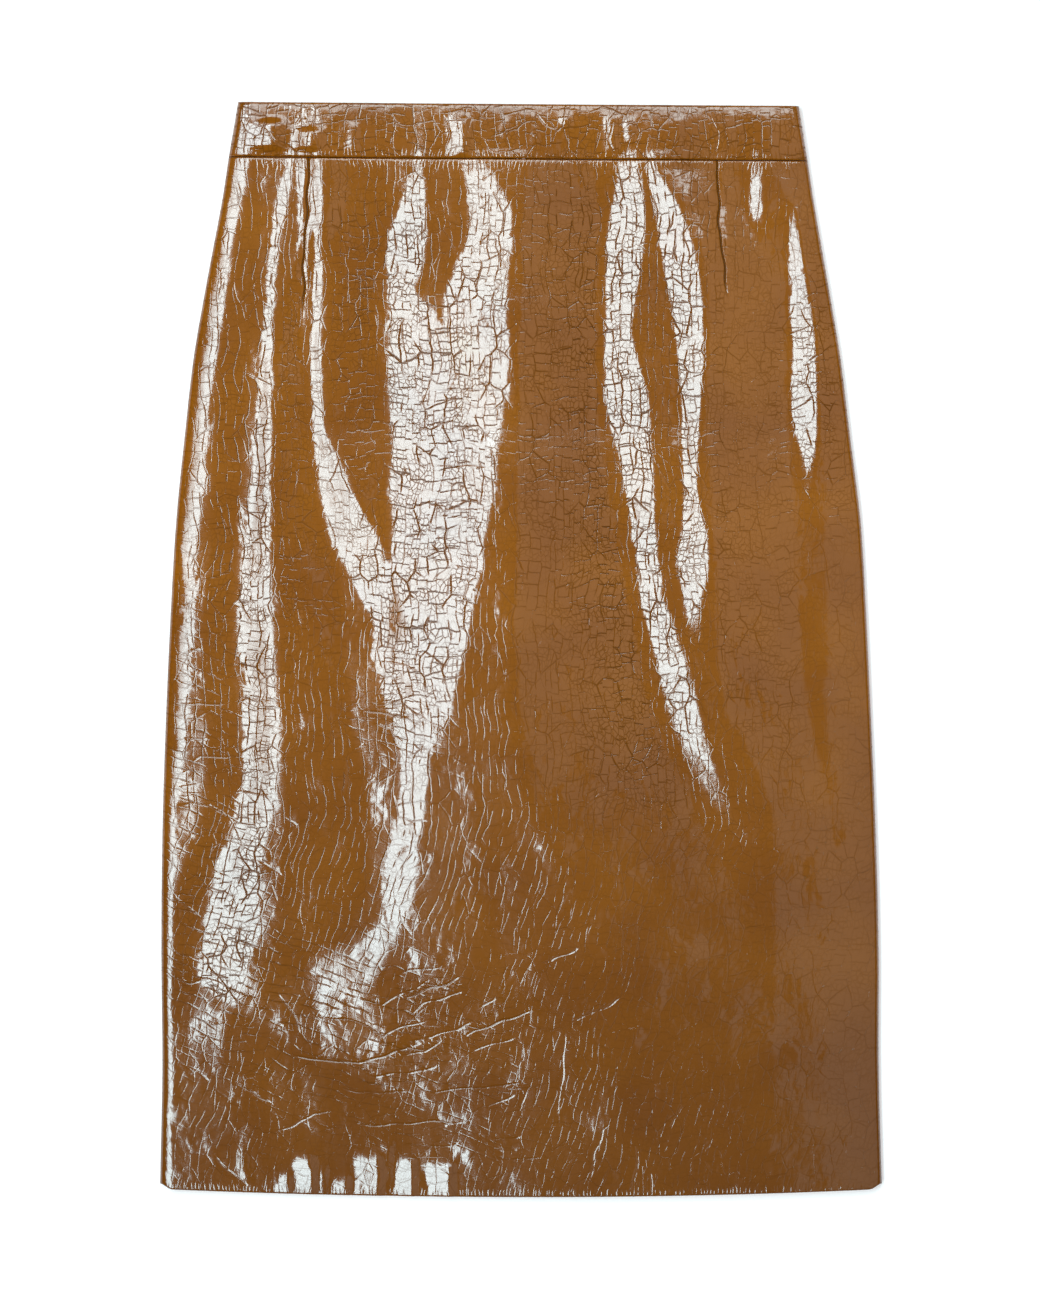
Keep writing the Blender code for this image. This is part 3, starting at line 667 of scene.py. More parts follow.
# Crinkled patent leather: bonded leather under a thick clear lacquer. The lacquer gives sharp,
# bright reflections, and its crackle breaks them into plates between fine sunken lines. The lines
# look dark in a highlight, and beside it their walls catch the light. The colour carries painted
# shade: darker in the cracks and crease lines, and towards the hem. Sizes are in millimetres on
# the flat cut, and depths are in metres.
PATENT_BROWN = "#8B4A07"
PATENT_WARM = "#9A5509"
# Painted shade that the colour darkens to towards the hem, where the light falls off.
HEM_SHADE_PAINT = "#4A2203"  # which the colour drifts to towards the hem
# Painted shade that the colour of the cracks and crease lines darkens to.
CRACK_SHADE_PAINT = "#3F2006"
MOTTLE = 60.0  # size of the patches of the two browns
HEM_SHADE_SHARE = 0.55
HEM_SHADE_FROM, HEM_SHADE_TO = 50.0, -350.0  # up from the middle of the cut
DRIFTS = ((42.0, 12.0), (8.0, 1.8))  # size and reach of what bends the crackle off straight
COLUMN = 5.6  # spacing of the cracks that run along the leather
BRICK = 7.4  # and of those that cross from one of them to the next
BRICK_SHIFT = 9.0  # how far the bricks of two columns are shifted, in bricks
LEAN_FROM = 110.0  # how far below the middle the cracks start to lean
LEAN = 0.3
WEB = (11.0, 16.0)  # size of the looser web of cracks over them, across and along
WEB_TILT = 0.00015  # how much each of its plates lies tilted
GRAIN = (2.9, 3.6)  # size of the finest cells
CELL_UNEVENNESS = 0.85
RUCK = 6.6  # spacing where the leather is rucked across
RUCK_SLANT = 0.28
TICK = 2.6  # spacing of the short puckers along a seam
CRACK_LAYERS = (
    # cells, width of their cracks, kind of crinkle that shows them and its least strength; size of the
    # patches that thin them out, and where these start, end and leave off; depth; how dark (painted shade,
    # less lacquer)
    ("column", 0.10, "runs", 0.14, (5.0, 9.0), (0.41, 0.54, 0.10), 0.00007, 1.0),
    ("brick", 0.10, "crackle", 0.20, (12.0, 7.0), (0.36, 0.50, 0.15), 0.00009, 1.0),
    ("web", 0.06, "crackle", 0.24, (20.0, 20.0), (0.40, 0.56, 0.0), 0.00009, 0.9),
    ("grain", 0.16, "crackle", 0.25, (15.0, 15.0), (0.38, 0.58, 0.1), 0.00001, 0.7),
    ("ruck", 0.13, "rucks", 0.0, (16.0, 8.0), (0.40, 0.55, 0.0), 0.00010, 0.6),
    ("tick", 0.24, "ticks", 0.0, (3.0, 8.0), (0.38, 0.5, 0.0), 0.00009, 0.3),
)
PEBBLE = (4.2, 6.5)  # size of the uneven lumps that break a highlight's edge
PEBBLE_HEIGHT = 0.00004
CREASE_LINE = 1.1  # half the width of the line at the bottom of a crease
CREASE_LINE_DEPTH = 0.00032
CREASE_LINE_DARK = 0.6
WORN = {"From Min": 0.0, "From Max": 0.6, "To Min": 1.0, "To Max": 0.12}  # lacquer left by darkness
# Painted shade: how far the darkest crack or crease line is coloured towards the shade colour.
CRACK_SHADE_SHARE = 0.8  # how much of the dark colour the darkest crack shows
LACQUER = {"Coat Roughness": 0.11, "Coat IOR": 1.66, "Roughness": 0.5, "Specular IOR Level": 0.03}


def make_patent_leather():
    made, tree, shader = new_material("crinkled_patent_leather")
    cut = add_node(tree, "UVMap", {"uv_map": "cut"}, {}).outputs["UV"]
    place = flat = vector_math(tree, "SCALE", cut, 1 / MM)[0]
    for size, reach in DRIFTS:
        drift = noise_on_cut(tree, place, 1 / size)["Color"]
        centred = vector_math(tree, "SUBTRACT", drift, (0.5, 0.5, 0.5))[0]
        place = vector_math(tree, "ADD", place, vector_math(tree, "SCALE", centred, reach)[0])[0]
    split = add_node(tree, "SeparateXYZ", {}, {0: place}).outputs

    def calculate(operation, first, second, third=0.0):
        """A Math node of numbers and sockets."""
        given = {0: first, 1: second, 2: third}
        settings = {"operation": operation}
        settings.update({key: value for key, value in given.items() if isinstance(value, float)})
        links = {key: value for key, value in given.items() if not isinstance(value, float)}
        return add_node(tree, "Math", settings, links).outputs[0]

    def cells(feature, line=None, spot=None):
        """Cells along a line or on the plane, a unit wide."""
        settings = {"voronoi_dimensions": "2D" if line is None else "1D", "feature": feature, "Scale": 1.0}
        settings["Randomness"] = CELL_UNEVENNESS
        links = {"Vector": spot} if line is None else {"W": line}
        return add_node(tree, "TexVoronoi", settings, links).outputs

    def attribute(kind):
        return add_node(tree, "Attribute", {"attribute_name": kind}, {}).outputs["Fac"]

    def shrunk(size):
        """The place in units of this size."""
        return vector_math(tree, "DIVIDE", place, (*size, 1.0))[0]

    def line_within(away, width):
        """1 on a line and 0 from this width on."""
        settings = {"interpolation_type": "SMOOTHSTEP", "From Max": width, "To Min": 1.0, "To Max": 0.0}
        return map_range(tree, away, settings)

    below = calculate("MAXIMUM", calculate("MULTIPLY_ADD", split["Y"], -1.0, -LEAN_FROM), 0.0)
    columns = calculate("DIVIDE", calculate("MULTIPLY_ADD", below, LEAN, split["X"]), COLUMN)
    column_tone = cells("F1", line=columns)["Color"]
    shift = add_node(tree, "SeparateColor", {}, {0: column_tone}).outputs[0]
    bricks = calculate("MULTIPLY_ADD", shift, BRICK_SHIFT, calculate("DIVIDE", split["Y"], BRICK))
    slanted = calculate("MULTIPLY_ADD", split["X"], RUCK_SLANT, split["Y"])
    web = shrunk(WEB)
    cells_of = {
        "column": {"line": columns},
        "brick": {"line": bricks},
        "web": {"spot": web},
        "grain": {"spot": shrunk(GRAIN)},
        "ruck": {"line": calculate("DIVIDE", slanted, RUCK)},
        "tick": {"line": calculate("DIVIDE", split["X"], TICK)},
    }
    height, dark = 0.0, 0.0
    for kind, width, shown_by, weakest, size, (start, end, thinnest), depth, darkness in CRACK_LAYERS:
        line = line_within(cells("DISTANCE_TO_EDGE", **cells_of[kind])["Distance"], width)
        line = calculate("MULTIPLY", line, map_range(tree, attribute(shown_by), {"To Min": weakest}))
        cloud = noise_on_cut(tree, shrunk(size), 1.0)["Fac"]
        patches = map_range(tree, cloud, {"From Min": start, "From Max": end, "To Min": thinnest})
        line = calculate("MULTIPLY", line, patches)
        height = calculate("MULTIPLY_ADD", line, -depth, height)
        dark = calculate("MAXIMUM", calculate("MULTIPLY", line, darkness), dark)
    # the listed creases: a sharp line at the bottom of each trough
    groove = line_within(calculate("ABSOLUTE", attribute("crease"), 0.0), CREASE_LINE)
    groove = calculate("MULTIPLY", groove, attribute("crease_depth"))
    height = calculate("MULTIPLY_ADD", groove, -CREASE_LINE_DEPTH, height)
    # the crease line darkens the colour as painted shade, and thins the lacquer
    dark = calculate("MAXIMUM", calculate("MULTIPLY", groove, CREASE_LINE_DARK), dark)
    lumps = noise_on_cut(tree, shrunk(PEBBLE), 1.0)["Fac"]
    height = calculate("MULTIPLY_ADD", lumps, PEBBLE_HEIGHT, height)
    # each plate of the web lies tilted by its own small angle
    plate = cells("F1", spot=web)
    lean = vector_math(tree, "SUBTRACT", plate["Color"], (0.5, 0.5, 0.0))[0]
    offset = vector_math(tree, "SUBTRACT", web, plate["Position"])[0]
    tilt = vector_math(tree, "DOT_PRODUCT", lean, offset)["Value"]
    height = calculate("MULTIPLY_ADD", tilt, WEB_TILT, height)
    normal = bumped(tree, height, 1.0, 1.0)

    mottle = noise_on_cut(tree, place, 1 / MOTTLE, 3.0)["Fac"]
    spread = map_range(tree, mottle, {"From Min": 0.3, "From Max": 0.7})
    body = blend(tree, spread, PATENT_BROWN, PATENT_WARM)
    up = add_node(tree, "SeparateXYZ", {}, {0: flat}).outputs["Y"]
    hem_shade_fading = {"From Min": HEM_SHADE_TO, "From Max": HEM_SHADE_FROM, "To Min": HEM_SHADE_SHARE, "To Max": 0.0}
    # Painted shade: the colour darkens towards the hem, and in the cracks and crease lines.
    for share, tint in (
        (map_range(tree, up, hem_shade_fading), HEM_SHADE_PAINT),
        (calculate("MULTIPLY", dark, CRACK_SHADE_SHARE), CRACK_SHADE_PAINT),
    ):
        body = add_node(tree, "Mix", {"data_type": "RGBA", 7: colour(tint)}, {0: share, 6: body}).outputs[2]
    lacquer = map_range(tree, dark, WORN)
    links = {"Base Color": body, "Coat Weight": lacquer, "Normal": normal, "Coat Normal": normal}
    feed(tree, shader, LACQUER, links)
    return made


# The flesh side of bonded leather: a short, matt, fibrous nap.
FLESH_TAN = "#7A5230"
FLESH_LIGHT = "#94693F"


def make_flesh_side():
    made, tree, shader = new_material("leather_flesh_side")
    nap, patches = noise_in_space(tree, 900.0, 4.0), noise_in_space(tree, 40.0, 3.0)
    both = add_node(tree, "Math", {"operation": "MULTIPLY_ADD", 1: 0.5}, {0: nap, 2: patches}).outputs[0]
    tone = map_range(tree, both, {"From Min": 0.45, "From Max": 1.05})
    tan = blend(tree, tone, FLESH_TAN, FLESH_LIGHT)
    links = {"Base Color": tan, "Normal": bumped(tree, nap, 0.6, 0.0004)}
    feed(tree, shader, {"Roughness": 0.9, "Sheen Weight": 0.4}, links)
    return made


leather_finishes = (make_patent_leather(), make_flesh_side())

# The grids of the pieces: columns and rows of the outer and of the inner faces.
FRONT_STEPS = 206
FRONT_ROWS = 316
INSIDE_STEPS = 44
INSIDE_ROWS = 76
BAND_ROWS = 26
BAND_INSIDE_ROWS = 4
BACK_STEPS = 96
BACK_ROWS = 190
BACK_INSIDE_STEPS = 20
BACK_BAND_INSIDE_ROWS = 5
HEM_ROUND = 1.2  # radius of the edge at the hem, and at the upper edge
TOP_ROUND = 0.8
EVEN_CRACKLE = 0.6  # strength of the crackle on the waistband and on the back
TICKS_BELOW_BAND = 9.0  # how far the puckers reach from each seam
TICKS_AT_HEM = 6.0
TICKS_ON_BAND = 7.0
# The lacquer has cracked most on the flanks of the folds, where it was bent.
FLAT_CRACKLE = 0.2
FLANK_SLOPES = (0.03, 0.07)


def panel_wall(levels):
    """One layer of leather, and two in the turned-up hem."""
    return LEATHER * (1 + ease((levels - LENGTH + HEM_TURN_UP + 1.0) / 2.0))


def near_seam(away, reach):
    """1 at a seam and 0 from this reach on."""
    return np.clip(1 - away / reach, 0.0, 1.0)


def front_inside(levels, height, down_at, wall):
    """The inner face of a piece of the front, which ends at the side seams."""
    columns = front_columns(INSIDE_STEPS)[:, len(TUCKS) - 1 : 1 - len(TUCKS)]
    columns[2] = 0.0
    across, up, _ = front_points(columns, levels, height, 0.0, wall)
    up[:, 0] = up[:, -1] = SEAM_HEIGHT
    down = down_at(across / smooth_curve(OUTLINE, 1, levels), levels)
    return in_place(across + smooth_curve(OUTLINE, 2, levels), down, up)


def make_front_panel():
    columns = front_columns(FRONT_STEPS)
    levels, sink = edged_levels(PANEL_TOP, LENGTH, FRONT_ROWS, TOP_ROUND, HEM_ROUND)
    across, up, lean = front_points(columns, levels, front_height, sink, 0.0)
    down = panel_down(across / smooth_curve(OUTLINE, 1, levels), levels)
    place = across + smooth_curve(OUTLINE, 2, levels)
    outer = in_place(place, down, up + np.cos(lean) * front_relief(place, down))
    inside_levels = np.linspace(PANEL_TOP + TOP_ROUND / 2, LENGTH - HEM_ROUND / 2, INSIDE_ROWS + 1)[:, None]
    inner = front_inside(inside_levels, front_height, panel_down, panel_wall(inside_levels))
    where = outer[..., 0] / MM, LENGTH / 2 - outer[..., 1] / MM
    crinkles = {kind: zone(kind, *where) for kind in ("crackle", "runs", "rucks")}
    slope = np.abs(np.gradient(outer[..., 2], axis=1) / np.gradient(outer[..., 0] + 1e-9, axis=1))
    least, most = FLANK_SLOPES
    crinkles["crackle"] *= FLAT_CRACKLE + (1 - FLAT_CRACKLE) * ease((slope - least) / (most - least))
    ticks = near_seam(levels - PANEL_TOP, TICKS_BELOW_BAND) + near_seam(LENGTH - levels, TICKS_AT_HEM)
    crinkles["ticks"] = np.broadcast_to(ticks, place.shape)
    crinkles.update(crease_lines(CREASES + DARTS, *where))
    return cloth_wall("front", outer, inner, cut_map(outer, levels), crinkles, leather_finishes)


front = make_front_panel()
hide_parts("front_panel")
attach(front, "skirt")

# ---- The waistband at the front ------------------------------------------------------------
# A straight strip of the same leather folded over double, with the seam allowances turned in. It is
# stiffer than the skirt, so it calms the folds, and it puckers a little where they pull on it.
BAND_WALL = 3.0
BAND_PROUD = 0.5
BAND_CALM = 12.6  # height that it calms down to at the sides, and how much higher that is in the middle
BAND_CROWN = 1.6
BAND_CALMED = (0.24, 0.55)  # how much calmer its top edge is by its height, and by its stiff seam
BAND_SEAM_REACH = 9.0
BAND_DOME = 0.9  # how far its middle stands out between its two edges
BAND_EDGE = 1.4  # radius of its edges
BAND_DENTS = (
    # as HEM_DENTS, on the waistband
    (-180, -159, 12, 30, 0.10), (-152, -134, 17, 30, 0.10), (-117, -107, 14, 31, 0.05),
    (-48, -37, 9, 33, 0.13), (23, 29, 7, 14, 0.14), (51, 59, 6, 30, 0.09), (64, 70, 10, 24, 0.10),
    (-16, -10, 10, 22, 0.06), (4, 9, 14, 26, 0.06), (96, 101, 8, 26, 0.06),
)
BAND_DENT_FALL = 0.7
BAND_WAVES = (
    # height, slant, size across and down, seed
    (0.045, 0.0, 13.0, 17.0, 13.0),
    (0.02, 0.4, 6.0, 14.0, 15.0),
)


def band_down(share, level):
    """Down to a point of the waistband."""
    return waist_edge(share) + level


def band_height(across, level):
    """Height of the waistband's outer face: the folds' at its seam, calmer towards its top edge."""
    at_seam = front_height(across, np.full_like(level, WAISTBAND)) + BAND_PROUD
    share = across / smooth_curve(OUTLINE, 1, level)
    calm = BAND_CALM + BAND_CROWN * (1 - share**2)
    by_height, by_seam = BAND_CALMED
    calmed = by_height * ease(1 - level / WAISTBAND) + by_seam * ease((WAISTBAND - level) / BAND_SEAM_REACH)
    return at_seam + (calm - at_seam) * calmed


def band_relief(across, down):
    relief = BAND_DOME * (1 - ((down - 0.5 * WAISTBAND) / (0.5 * WAISTBAND)) ** 2)
    relief = relief + dents(BAND_DENTS, BAND_DENT_FALL, across, down)
    for height, slant, wide, long, seed in BAND_WAVES:
        relief += height * soft_noise(across + slant * down, down, wide, long, seed)
    return relief


def make_front_band():
    columns = front_columns(FRONT_STEPS)
    levels, sink = edged_levels(0.0, WAISTBAND, BAND_ROWS, BAND_EDGE, BAND_EDGE)
    across, up, lean = front_points(columns, levels, band_height, sink, 0.0)
    down = band_down(across / smooth_curve(OUTLINE, 1, levels), levels)
    place = across + smooth_curve(OUTLINE, 2, levels)
    outer = in_place(place, down, up + np.cos(lean) * band_relief(place, levels))
    inside_levels = np.linspace(BAND_EDGE / 2, WAISTBAND - BAND_EDGE / 2, BAND_INSIDE_ROWS + 1)[:, None]
    inner = front_inside(inside_levels, band_height, band_down, BAND_WALL)
    crinkles = {"crackle": np.full(place.shape, EVEN_CRACKLE)}
    crinkles["runs"] = zone("band_runs", place, levels)
    crinkles["rucks"] = zone("band_rucks", place, levels)
    crinkles["ticks"] = np.broadcast_to(near_seam(WAISTBAND - levels, TICKS_ON_BAND), place.shape)
    crinkles.update(crease_lines(BAND_CREASES, place, levels))
    return cloth_wall("front_waistband", outer, inner, cut_map(outer, levels), crinkles, leather_finishes)


front_band = make_front_band()
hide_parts("waistband_front")
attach(front_band, "skirt")

# ---- The back ------------------------------------------------------------------------------
# Two panels of the same leather, seamed at the centre back below the zip. They lie flat on the
# surface, and curl up at the sides to the side seams. Their hem is turned up with the front's.
BACK_ROLL = SEAM_HEIGHT - SEAM_GAP - SEAM_STAND
BACK_ROUND = 0.4
BACK_WAVE = (0.05, 12.0, 24.0, 17.0)  # height, size across and down, and seed
BACK_CUT_APART = 0.3  # metres from the middle of a back piece to the line between the two on the cut
ZIP_SLOT = 5.2
BACK_CREASES = (
    # depth, half width, the points that a crease runs through, out from the centre back and down
    (0.30, 2.0, ((38, 612), (66, 606), (97, 611))),
    (0.26, 1.8, ((110, 588), (139, 594), (161, 590))),
    (0.30, 2.0, ((52, 566), (80, 571), (96, 563))),
    (0.24, 1.8, ((20, 640), (49, 645), (60, 641))),
    (0.28, 2.0, ((128, 455), (158, 451), (183, 456))),
    (0.26, 1.8, ((150, 470), (171, 474))),
    (0.28, 2.0, ((143, 414), (180, 409))),
    (0.24, 1.8, ((60, 398), (92, 403), (108, 397))),
    (0.24, 2.0, ((85, 240), (97, 268), (94, 290))),
    (0.26, 2.0, ((31, 246), (36, 280), (30, 306))),
    (0.26, 1.8, ((120, 150), (127, 183))),
    (0.22, 1.8, ((70, 96), (74, 131))),
    (0.28, 2.0, ((76, 655), (101, 661), (125, 655))),
    (0.24, 1.8, ((165, 634), (186, 640))),
)


def back_columns(steps, tucks):
    """Place from the centre back to the roll, turn round it, and tuck at the seams (minus: centre)."""
    centre = [(0.0, 0.0, -tuck) for tuck in tucks]
    flat = [(place, 0.0, 0.0) for place in np.linspace(0.0, 1.0, steps + 1)]
    rolled = [(1.0, turn, 0.0) for turn in reversed(ROLL_TURNS)]
    return np.array(centre + flat + rolled + [(1.0, 1.0, tuck) for tuck in reversed(tucks)]).T


def back_points(columns, levels, side, inner_end, sink, wall):
    """(across, up) of half of the back at each level, wall inside its outer face."""
    places, turns, tucks = columns
    edge = smooth_curve(OUTLINE, 2, levels) + side * smooth_curve(OUTLINE, 1, levels)
    inner = side * (inner_end + np.where(tucks < 0, 0.0, BACK_ROUND * (places == 0) * (turns == 0)))
    flat = inner + (edge - side * BACK_ROLL - inner) * places
    angle = turns * math.pi / 2
    rolled = edge - side * BACK_ROLL * (1 - np.sin(angle))
    across = np.where(turns > 0, rolled - side * wall * np.sin(angle), flat)
    up = np.where(turns > 0, BACK_ROLL * (1 - np.cos(angle)) + wall * np.cos(angle), wall)
    up = up + sink * np.cos(angle)
    turn_in = np.abs(tucks) * math.pi / 2
    up = np.where(tucks < 0, up + BACK_ROUND * (1 - np.cos(turn_in)), up)
    across = np.where(tucks < 0, across + side * BACK_ROUND * (1 - np.sin(turn_in)), across)
    top = BACK_ROLL + SEAM_STAND - BACK_ROUND * (1 - np.sin(turn_in))
    across = np.where(tucks > 0, across - side * BACK_ROUND * (1 - np.cos(turn_in)), across)
    return across, np.where(tucks > 0, top, up)


def back_relief(side, across, down):
    """Shallow troughs that rise off the surface, so that the panel still lies flat."""
    out = side * across
    relief = -crease_relief(BACK_CREASES, out, down)
    height, wide, long, seed = BACK_WAVE
    relief += height + height * soft_noise(out, down, wide, long, seed + side)
    return np.maximum(relief, 0.0)


def make_back_piece(name, side, is_band):
    columns = back_columns(BACK_STEPS, TUCKS)
    inner_end = ZIP_SLOT / 2 if is_band else SEAM_GAP / 2
    span = (0.0, WAISTBAND) if is_band else (PANEL_TOP, LENGTH)
    levels, sink = edged_levels(*span, BAND_ROWS if is_band else BACK_ROWS, TOP_ROUND, HEM_ROUND)
    down_at = band_down if is_band else panel_down

    def down_of(across, at):
        return down_at((across - smooth_curve(OUTLINE, 2, at)) / smooth_curve(OUTLINE, 1, at), at)

    across, up = back_points(columns, levels, side, inner_end, sink, 0.0)
    down = down_of(across, levels)
    up = up + back_relief(side, across, down) * (columns[1] == 0)
    outer = in_place(across, down, up)
    inside_columns = back_columns(BACK_INSIDE_STEPS, (1.0,))[:, 1:-1]
    rows = BACK_BAND_INSIDE_ROWS if is_band else INSIDE_ROWS
    inside_levels = np.linspace(span[0] + TOP_ROUND / 2, span[1] - HEM_ROUND / 2, rows + 1)[:, None]
    wall = np.full_like(inside_levels, BAND_WALL) if is_band else panel_wall(inside_levels)
    across, up = back_points(inside_columns, inside_levels, side, inner_end, 0.0, wall)
    up[:, -1] = BACK_ROLL + SEAM_STAND
    inner = in_place(across, down_of(across, inside_levels), up)
    crinkles = {kind: np.full(outer.shape[:2], EVEN_CRACKLE) for kind in ("crackle", "runs")}
    out = side * outer[..., 0] / MM
    crinkles["rucks"] = zone("back_rucks", out, down)
    crinkles["ticks"] = np.broadcast_to(near_seam(span[1] - levels, TICKS_AT_HEM), out.shape)
    crinkles.update(crease_lines(BACK_CREASES, out, down))
    cut = cut_map(outer, levels)
    cut[..., 0] = side * (cut[..., 0] + BACK_CUT_APART)
    return cloth_wall(name, outer, inner, cut, crinkles, leather_finishes)


for side, side_name in ((-1, "left"), (1, "right")):
    panel = make_back_piece("back_" + side_name, side, False)
    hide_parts("back_panel_" + side_name)
    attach(panel, "skirt")
    band = make_back_piece("back_waistband_" + side_name, side, True)
    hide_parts("waistband_back_" + side_name)
    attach(band, "skirt")

# ---- The zip -------------------------------------------------------------------------------
# A concealed zip in the centre-back seam: a woven polyester tape with a moulded coil, closed to the
# top, and a small brass slider with a flat pull on its outer side.
TAPE_HERRINGBONE = 1.4
TAPE_RIB = 0.6
TAPE_THICK = 0.8
TAPE_INNER = 0.25  # from the middle to the inner edge of each ribbon
TAPE_MARGIN = 0.05  # of its outer edge inside the solid
TAPE_ROUND = 0.25
TAPE_COLOUR = "#5C3614"
TAPE_LIGHT = "#6F4520"
COIL_COLOUR = "#6A411C"
COIL_PITCH = 1.15
COIL_FILL = 0.85  # part of the pitch that a loop takes up
COIL_LOW = 2.2  # height of its lower face
COIL_INNER = 0.48  # how far a loop reaches past the middle, and how far out
COIL_OUTER = 2.0
COIL_THICK = 0.9
COIL_ROUND = 0.24
COIL_END = 2.2  # from its lower end to the tape's
COIL_CLEAR = 0.2  # from its upper end to the slider
CAST_ROUND = 0.16  # radius that tumbling gives the cast edges
BRASS_LIGHT = "#C9A85C"
BRASS_DARK = "#8E6F33"


def make_tape_weave():
    """Polyester tape: tightly woven, so it shows fine slanting ribs and a dull sheen."""
    made, tree, shader = new_material("zip_tape_polyester")
    where = add_node(tree, "TexCoord", {}, {}).outputs["Object"]
    split = add_node(tree, "SeparateXYZ", {}, {0: where}).outputs
    folding = {"operation": "PINGPONG", 1: 0.5 * TAPE_HERRINGBONE * MM}
    folded = add_node(tree, "Math", folding, {0: split["X"]})
    slant = add_node(tree, "Math", {"operation": "ADD"}, {0: folded.outputs[0], 1: split["Y"]})
    turns = {"operation": "MULTIPLY", 1: math.tau / (TAPE_RIB * MM)}
    turned = add_node(tree, "Math", turns, {0: slant.outputs[0]})
    rib = add_node(tree, "Math", {"operation": "SINE"}, {0: turned.outputs[0]})
    share = map_range(tree, rib.outputs[0], {"From Min": -1.0})
    woven = blend(tree, share, TAPE_COLOUR, TAPE_LIGHT)
    links = {"Base Color": woven, "Normal": bumped(tree, share, 0.5, 0.0001)}
    feed(tree, shader, {"Roughness": 0.75, "Sheen Weight": 0.25}, links)
    return made


def make_coil_nylon():
    """Moulded nylon filament: smooth and slightly glossy, a shade lighter than its tape."""
    made, tree, shader = new_material("zip_coil_nylon")
    spots = noise_in_space(tree, 600.0, 2.0)
    feed(tree, shader, {"Roughness": 0.35}, {"Base Color": blend(tree, spots, COIL_COLOUR, TAPE_LIGHT)})
    return made


def make_brass():
    """Tumbled brass: cast, then polished in a drum, so it is soft-edged with fine random scuffs."""
    made, tree, shader = new_material("tumbled_brass")
    scuffs, stain = noise_in_space(tree, 2500.0, 3.0), noise_in_space(tree, 260.0, 2.0)
    tone = map_range(tree, stain, {"From Min": 0.3, "From Max": 0.55})
    links = {
        "Base Color": blend(tree, tone, BRASS_DARK, BRASS_LIGHT),
        "Roughness": map_range(tree, scuffs, {"To Min": 0.2, "To Max": 0.42}),
        "Normal": bumped(tree, scuffs, 0.3, 0.00005),
    }
    feed(tree, shader, {"Metallic": 1.0}, links)
    return made


def finish_form(name, form, finish):
    """The bmesh as an object at the origin."""
    mesh = bpy.data.meshes.new(name)
    form.to_mesh(mesh)
    form.free()
    mesh.materials.append(finish)
    made = bpy.data.objects.new(name, mesh)
    bpy.context.scene.collection.objects.link(made)
    return made


def add_box(form, side, low, high):
    """A box between two corners, which are given for the right side and mirrored for the left."""
    for vertex in bmesh.ops.create_cube(form, size=1.0)["verts"]:
        x, y, z = [(a + b) / 2 + share * (b - a) for a, b, share in zip(low, high, vertex.co)]
        vertex.co = (x if side > 0 else x - low[0] - high[0], y, z)


def round_edges(form, radius):
    edges = form.edges[:]
    bmesh.ops.bevel(form, geom=edges, offset=radius, segments=2, profile=0.5, affect="EDGES", material=-1)


tape_low, tape_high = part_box("zip_tape")
slider_low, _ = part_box("zip_slider")
brass = make_brass()

# the tape: two ribbons that meet under the coil
form = bmesh.new()
tape_bottom = LEATHER + SEAM_GAP
tape_top_end = LENGTH / 2 - WAISTBAND - WAIST_TILT - 2 * SEAM_GAP
for side in (-1, 1):
    low = (TAPE_INNER * MM, tape_low.y, tape_bottom * MM)
    high = (tape_high.x - TAPE_MARGIN * MM, tape_top_end * MM, (tape_bottom + TAPE_THICK) * MM)
    add_box(form, side, low, high)
round_edges(form, TAPE_ROUND * MM)
tape = finish_form("zip_tape_woven", form, make_tape_weave())

# the coil: one small loop of filament after another, alternately from the left and from the right
form = bmesh.new()
coil_top = slider_low.y - COIL_CLEAR * MM
coil_low = tape_low.y + COIL_END * MM
pitch = COIL_PITCH * MM
for index in range(int((coil_top - coil_low) / pitch)):
    middle = coil_low + (index + 0.5) * pitch
    low = (-COIL_INNER * MM, middle - COIL_FILL * pitch / 2, COIL_LOW * MM)
    high = (COIL_OUTER * MM, middle + COIL_FILL * pitch / 2, (COIL_LOW + COIL_THICK) * MM)
    add_box(form, 1 if index % 2 else -1, low, high)
round_edges(form, COIL_ROUND * MM)
coil = finish_form("zip_coil", form, make_coil_nylon())
for piece in (tape, coil):
    piece.data.shade_smooth()
    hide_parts("zip_tape")
    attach(piece, "skirt")


def soften_cast_piece(node, name, body):
    """The cast piece on its solid, with the soft edges that tumbling leaves."""
    form = bmesh.new()
    form.from_mesh(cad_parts[node].data)
    bmesh.ops.remove_doubles(form, verts=form.verts, dist=1e-6)
    bmesh.ops.dissolve_limit(form, angle_limit=math.radians(1.0), verts=form.verts, edges=form.edges)
    made = finish_form(name, form, brass)
    edges = made.modifiers.new("tumbled_edges", "BEVEL")
    edges.width = CAST_ROUND * MM
    edges.segments = 3
    edges.limit_method = "ANGLE"
    edges.angle_limit = math.radians(35.0)
    made.data.shade_smooth()
    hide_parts(node)
    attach(made, body)
    return made


soften_cast_piece("zip_slider", "slider", "skirt")
soften_cast_piece("zip_pull", "pull_tab", "zip_pull")

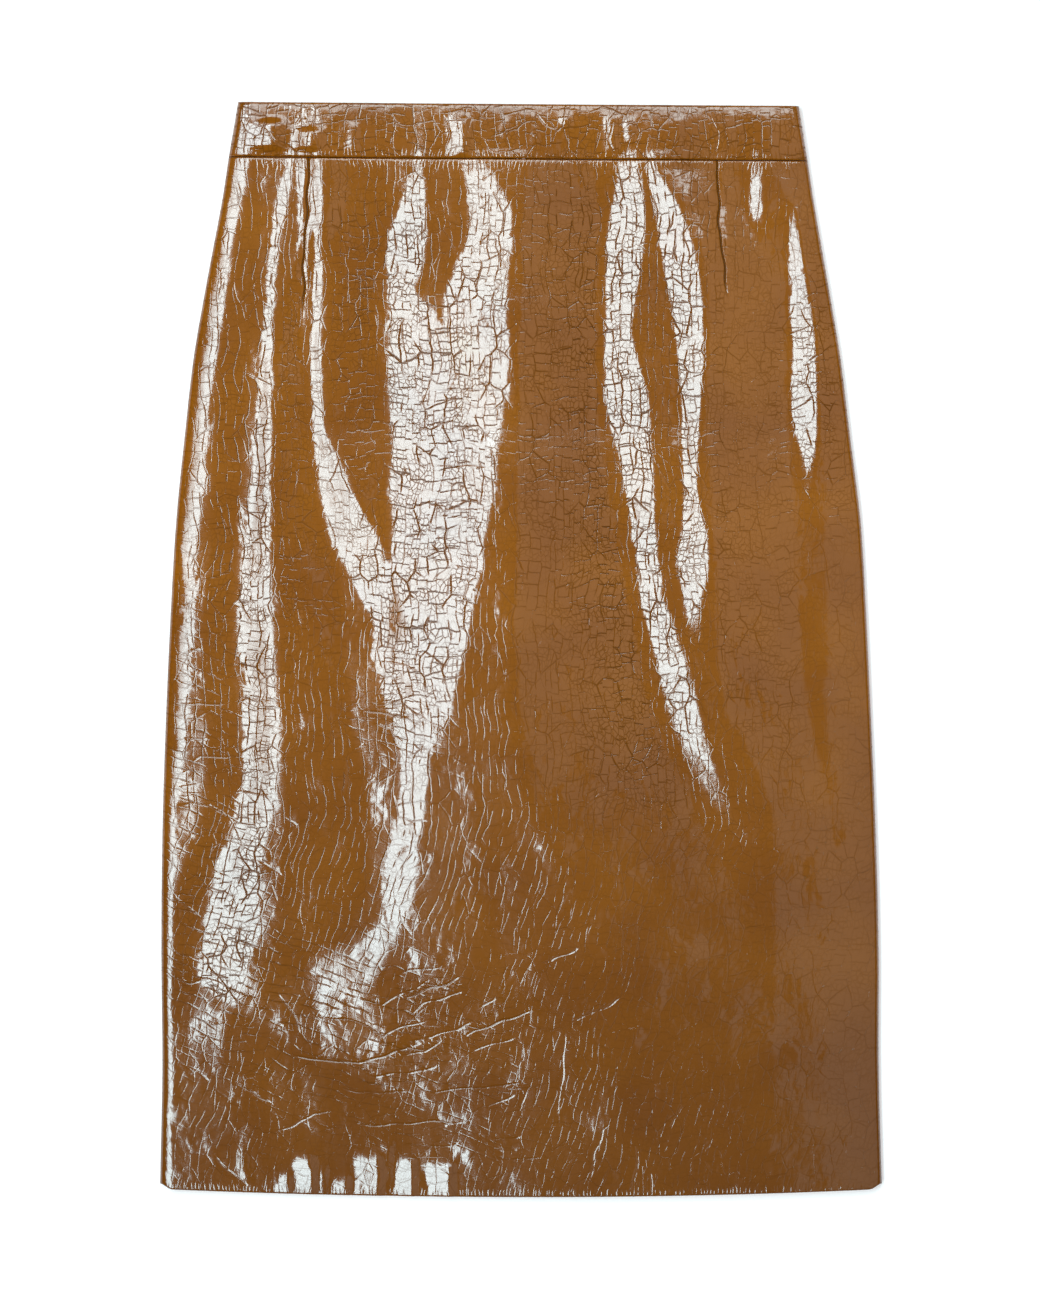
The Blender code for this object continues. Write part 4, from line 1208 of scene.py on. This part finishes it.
# ---- The floor, the lights and the camera --------------------------------------------------
# A pale studio floor. One long softbox to the left makes the bright streaks on the lacquer, a
# large dim one to the right veils that side, and one beyond the waist glints on the creases.
FLOOR_DROP = 0.0004  # of the floor below the skirt
WHITE_PAPER = {
    "Base Color": (0.84, 0.84, 0.84, 1.0),
    "Roughness": 1.0,
    "Specular IOR Level": 0.0,
    "Emission Color": (1.0, 0.9, 0.88, 1.0),
    "Emission Strength": 0.4,
}
DAYLIGHT = (0.75, 0.945, 1.0)
SOFTBOXES = (
    # name, centre, size, radiance and turn about X; the long one is brightest near the skirt
    ("long_softbox_far", (-2.56, 0.0, 6.0), (0.72, 5.3), 9.0, 0.0),
    ("long_softbox_middle", (-1.725, 0.0, 6.0), (0.95, 5.3), 13.5, 0.0),
    ("long_softbox_near", (-1.075, 0.0, 6.0), (0.35, 5.3), 15.0, 0.0),
    ("right_veil", (4.75, 0.0, 6.0), (8.2, 9.0), 0.5, 0.0),
    ("waist_softbox", (0.2, 2.7, 5.4), (3.0, 2.1), 6.5, -27.0),
)

floor_form = bmesh.new()
bmesh.ops.create_grid(floor_form, x_segments=1, y_segments=1, size=14.0)
bmesh.ops.translate(floor_form, verts=floor_form.verts, vec=(0, 0, -FLOOR_DROP))
floor_paper, floor_tree, floor_shader = new_material("white_paper")
feed(floor_tree, floor_shader, WHITE_PAPER, {})
finish_form("floor", floor_form, floor_paper)

for name, centre, size, radiance, turn in SOFTBOXES:
    data = bpy.data.lights.new(name, "AREA")
    data.shape = "RECTANGLE"
    data.color = DAYLIGHT
    data.size, data.size_y = size
    data.energy = radiance * math.pi * size[0] * size[1]
    softbox = bpy.data.objects.new(name, data)
    softbox.location = centre
    softbox.rotation_euler = (math.radians(turn), 0.0, 0.0)
    bpy.context.scene.collection.objects.link(softbox)
world = bpy.data.worlds.new("studio")
world.use_nodes = True
background = {"Color": (1.0, 1.0, 1.0, 1.0), "Strength": 0.03}
feed(world.node_tree, world.node_tree.nodes["Background"], background, {})
bpy.context.scene.world = world

PICTURE_LONG = 1300
PIXEL = 0.6393  # millimetres
CAMERA_HEIGHT = 4.5
CAMERA_PLACE = (-0.00064, -0.0003)  # the middle of the picture beside the middle of the skirt
SCALE_HEIGHT = 0.008  # height of the skirt's face at which a pixel has that size
camera_data = bpy.data.cameras.new("camera")
camera_data.lens = camera_data.sensor_width * CAMERA_HEIGHT / (PICTURE_LONG * PIXEL * MM)
camera_data.clip_end = 60.0
camera = bpy.data.objects.new("camera", camera_data)
camera.location = (*CAMERA_PLACE, CAMERA_HEIGHT + SCALE_HEIGHT)
bpy.context.scene.collection.objects.link(camera)
bpy.context.scene.camera = camera
bpy.context.scene.view_settings.view_transform = "Standard"
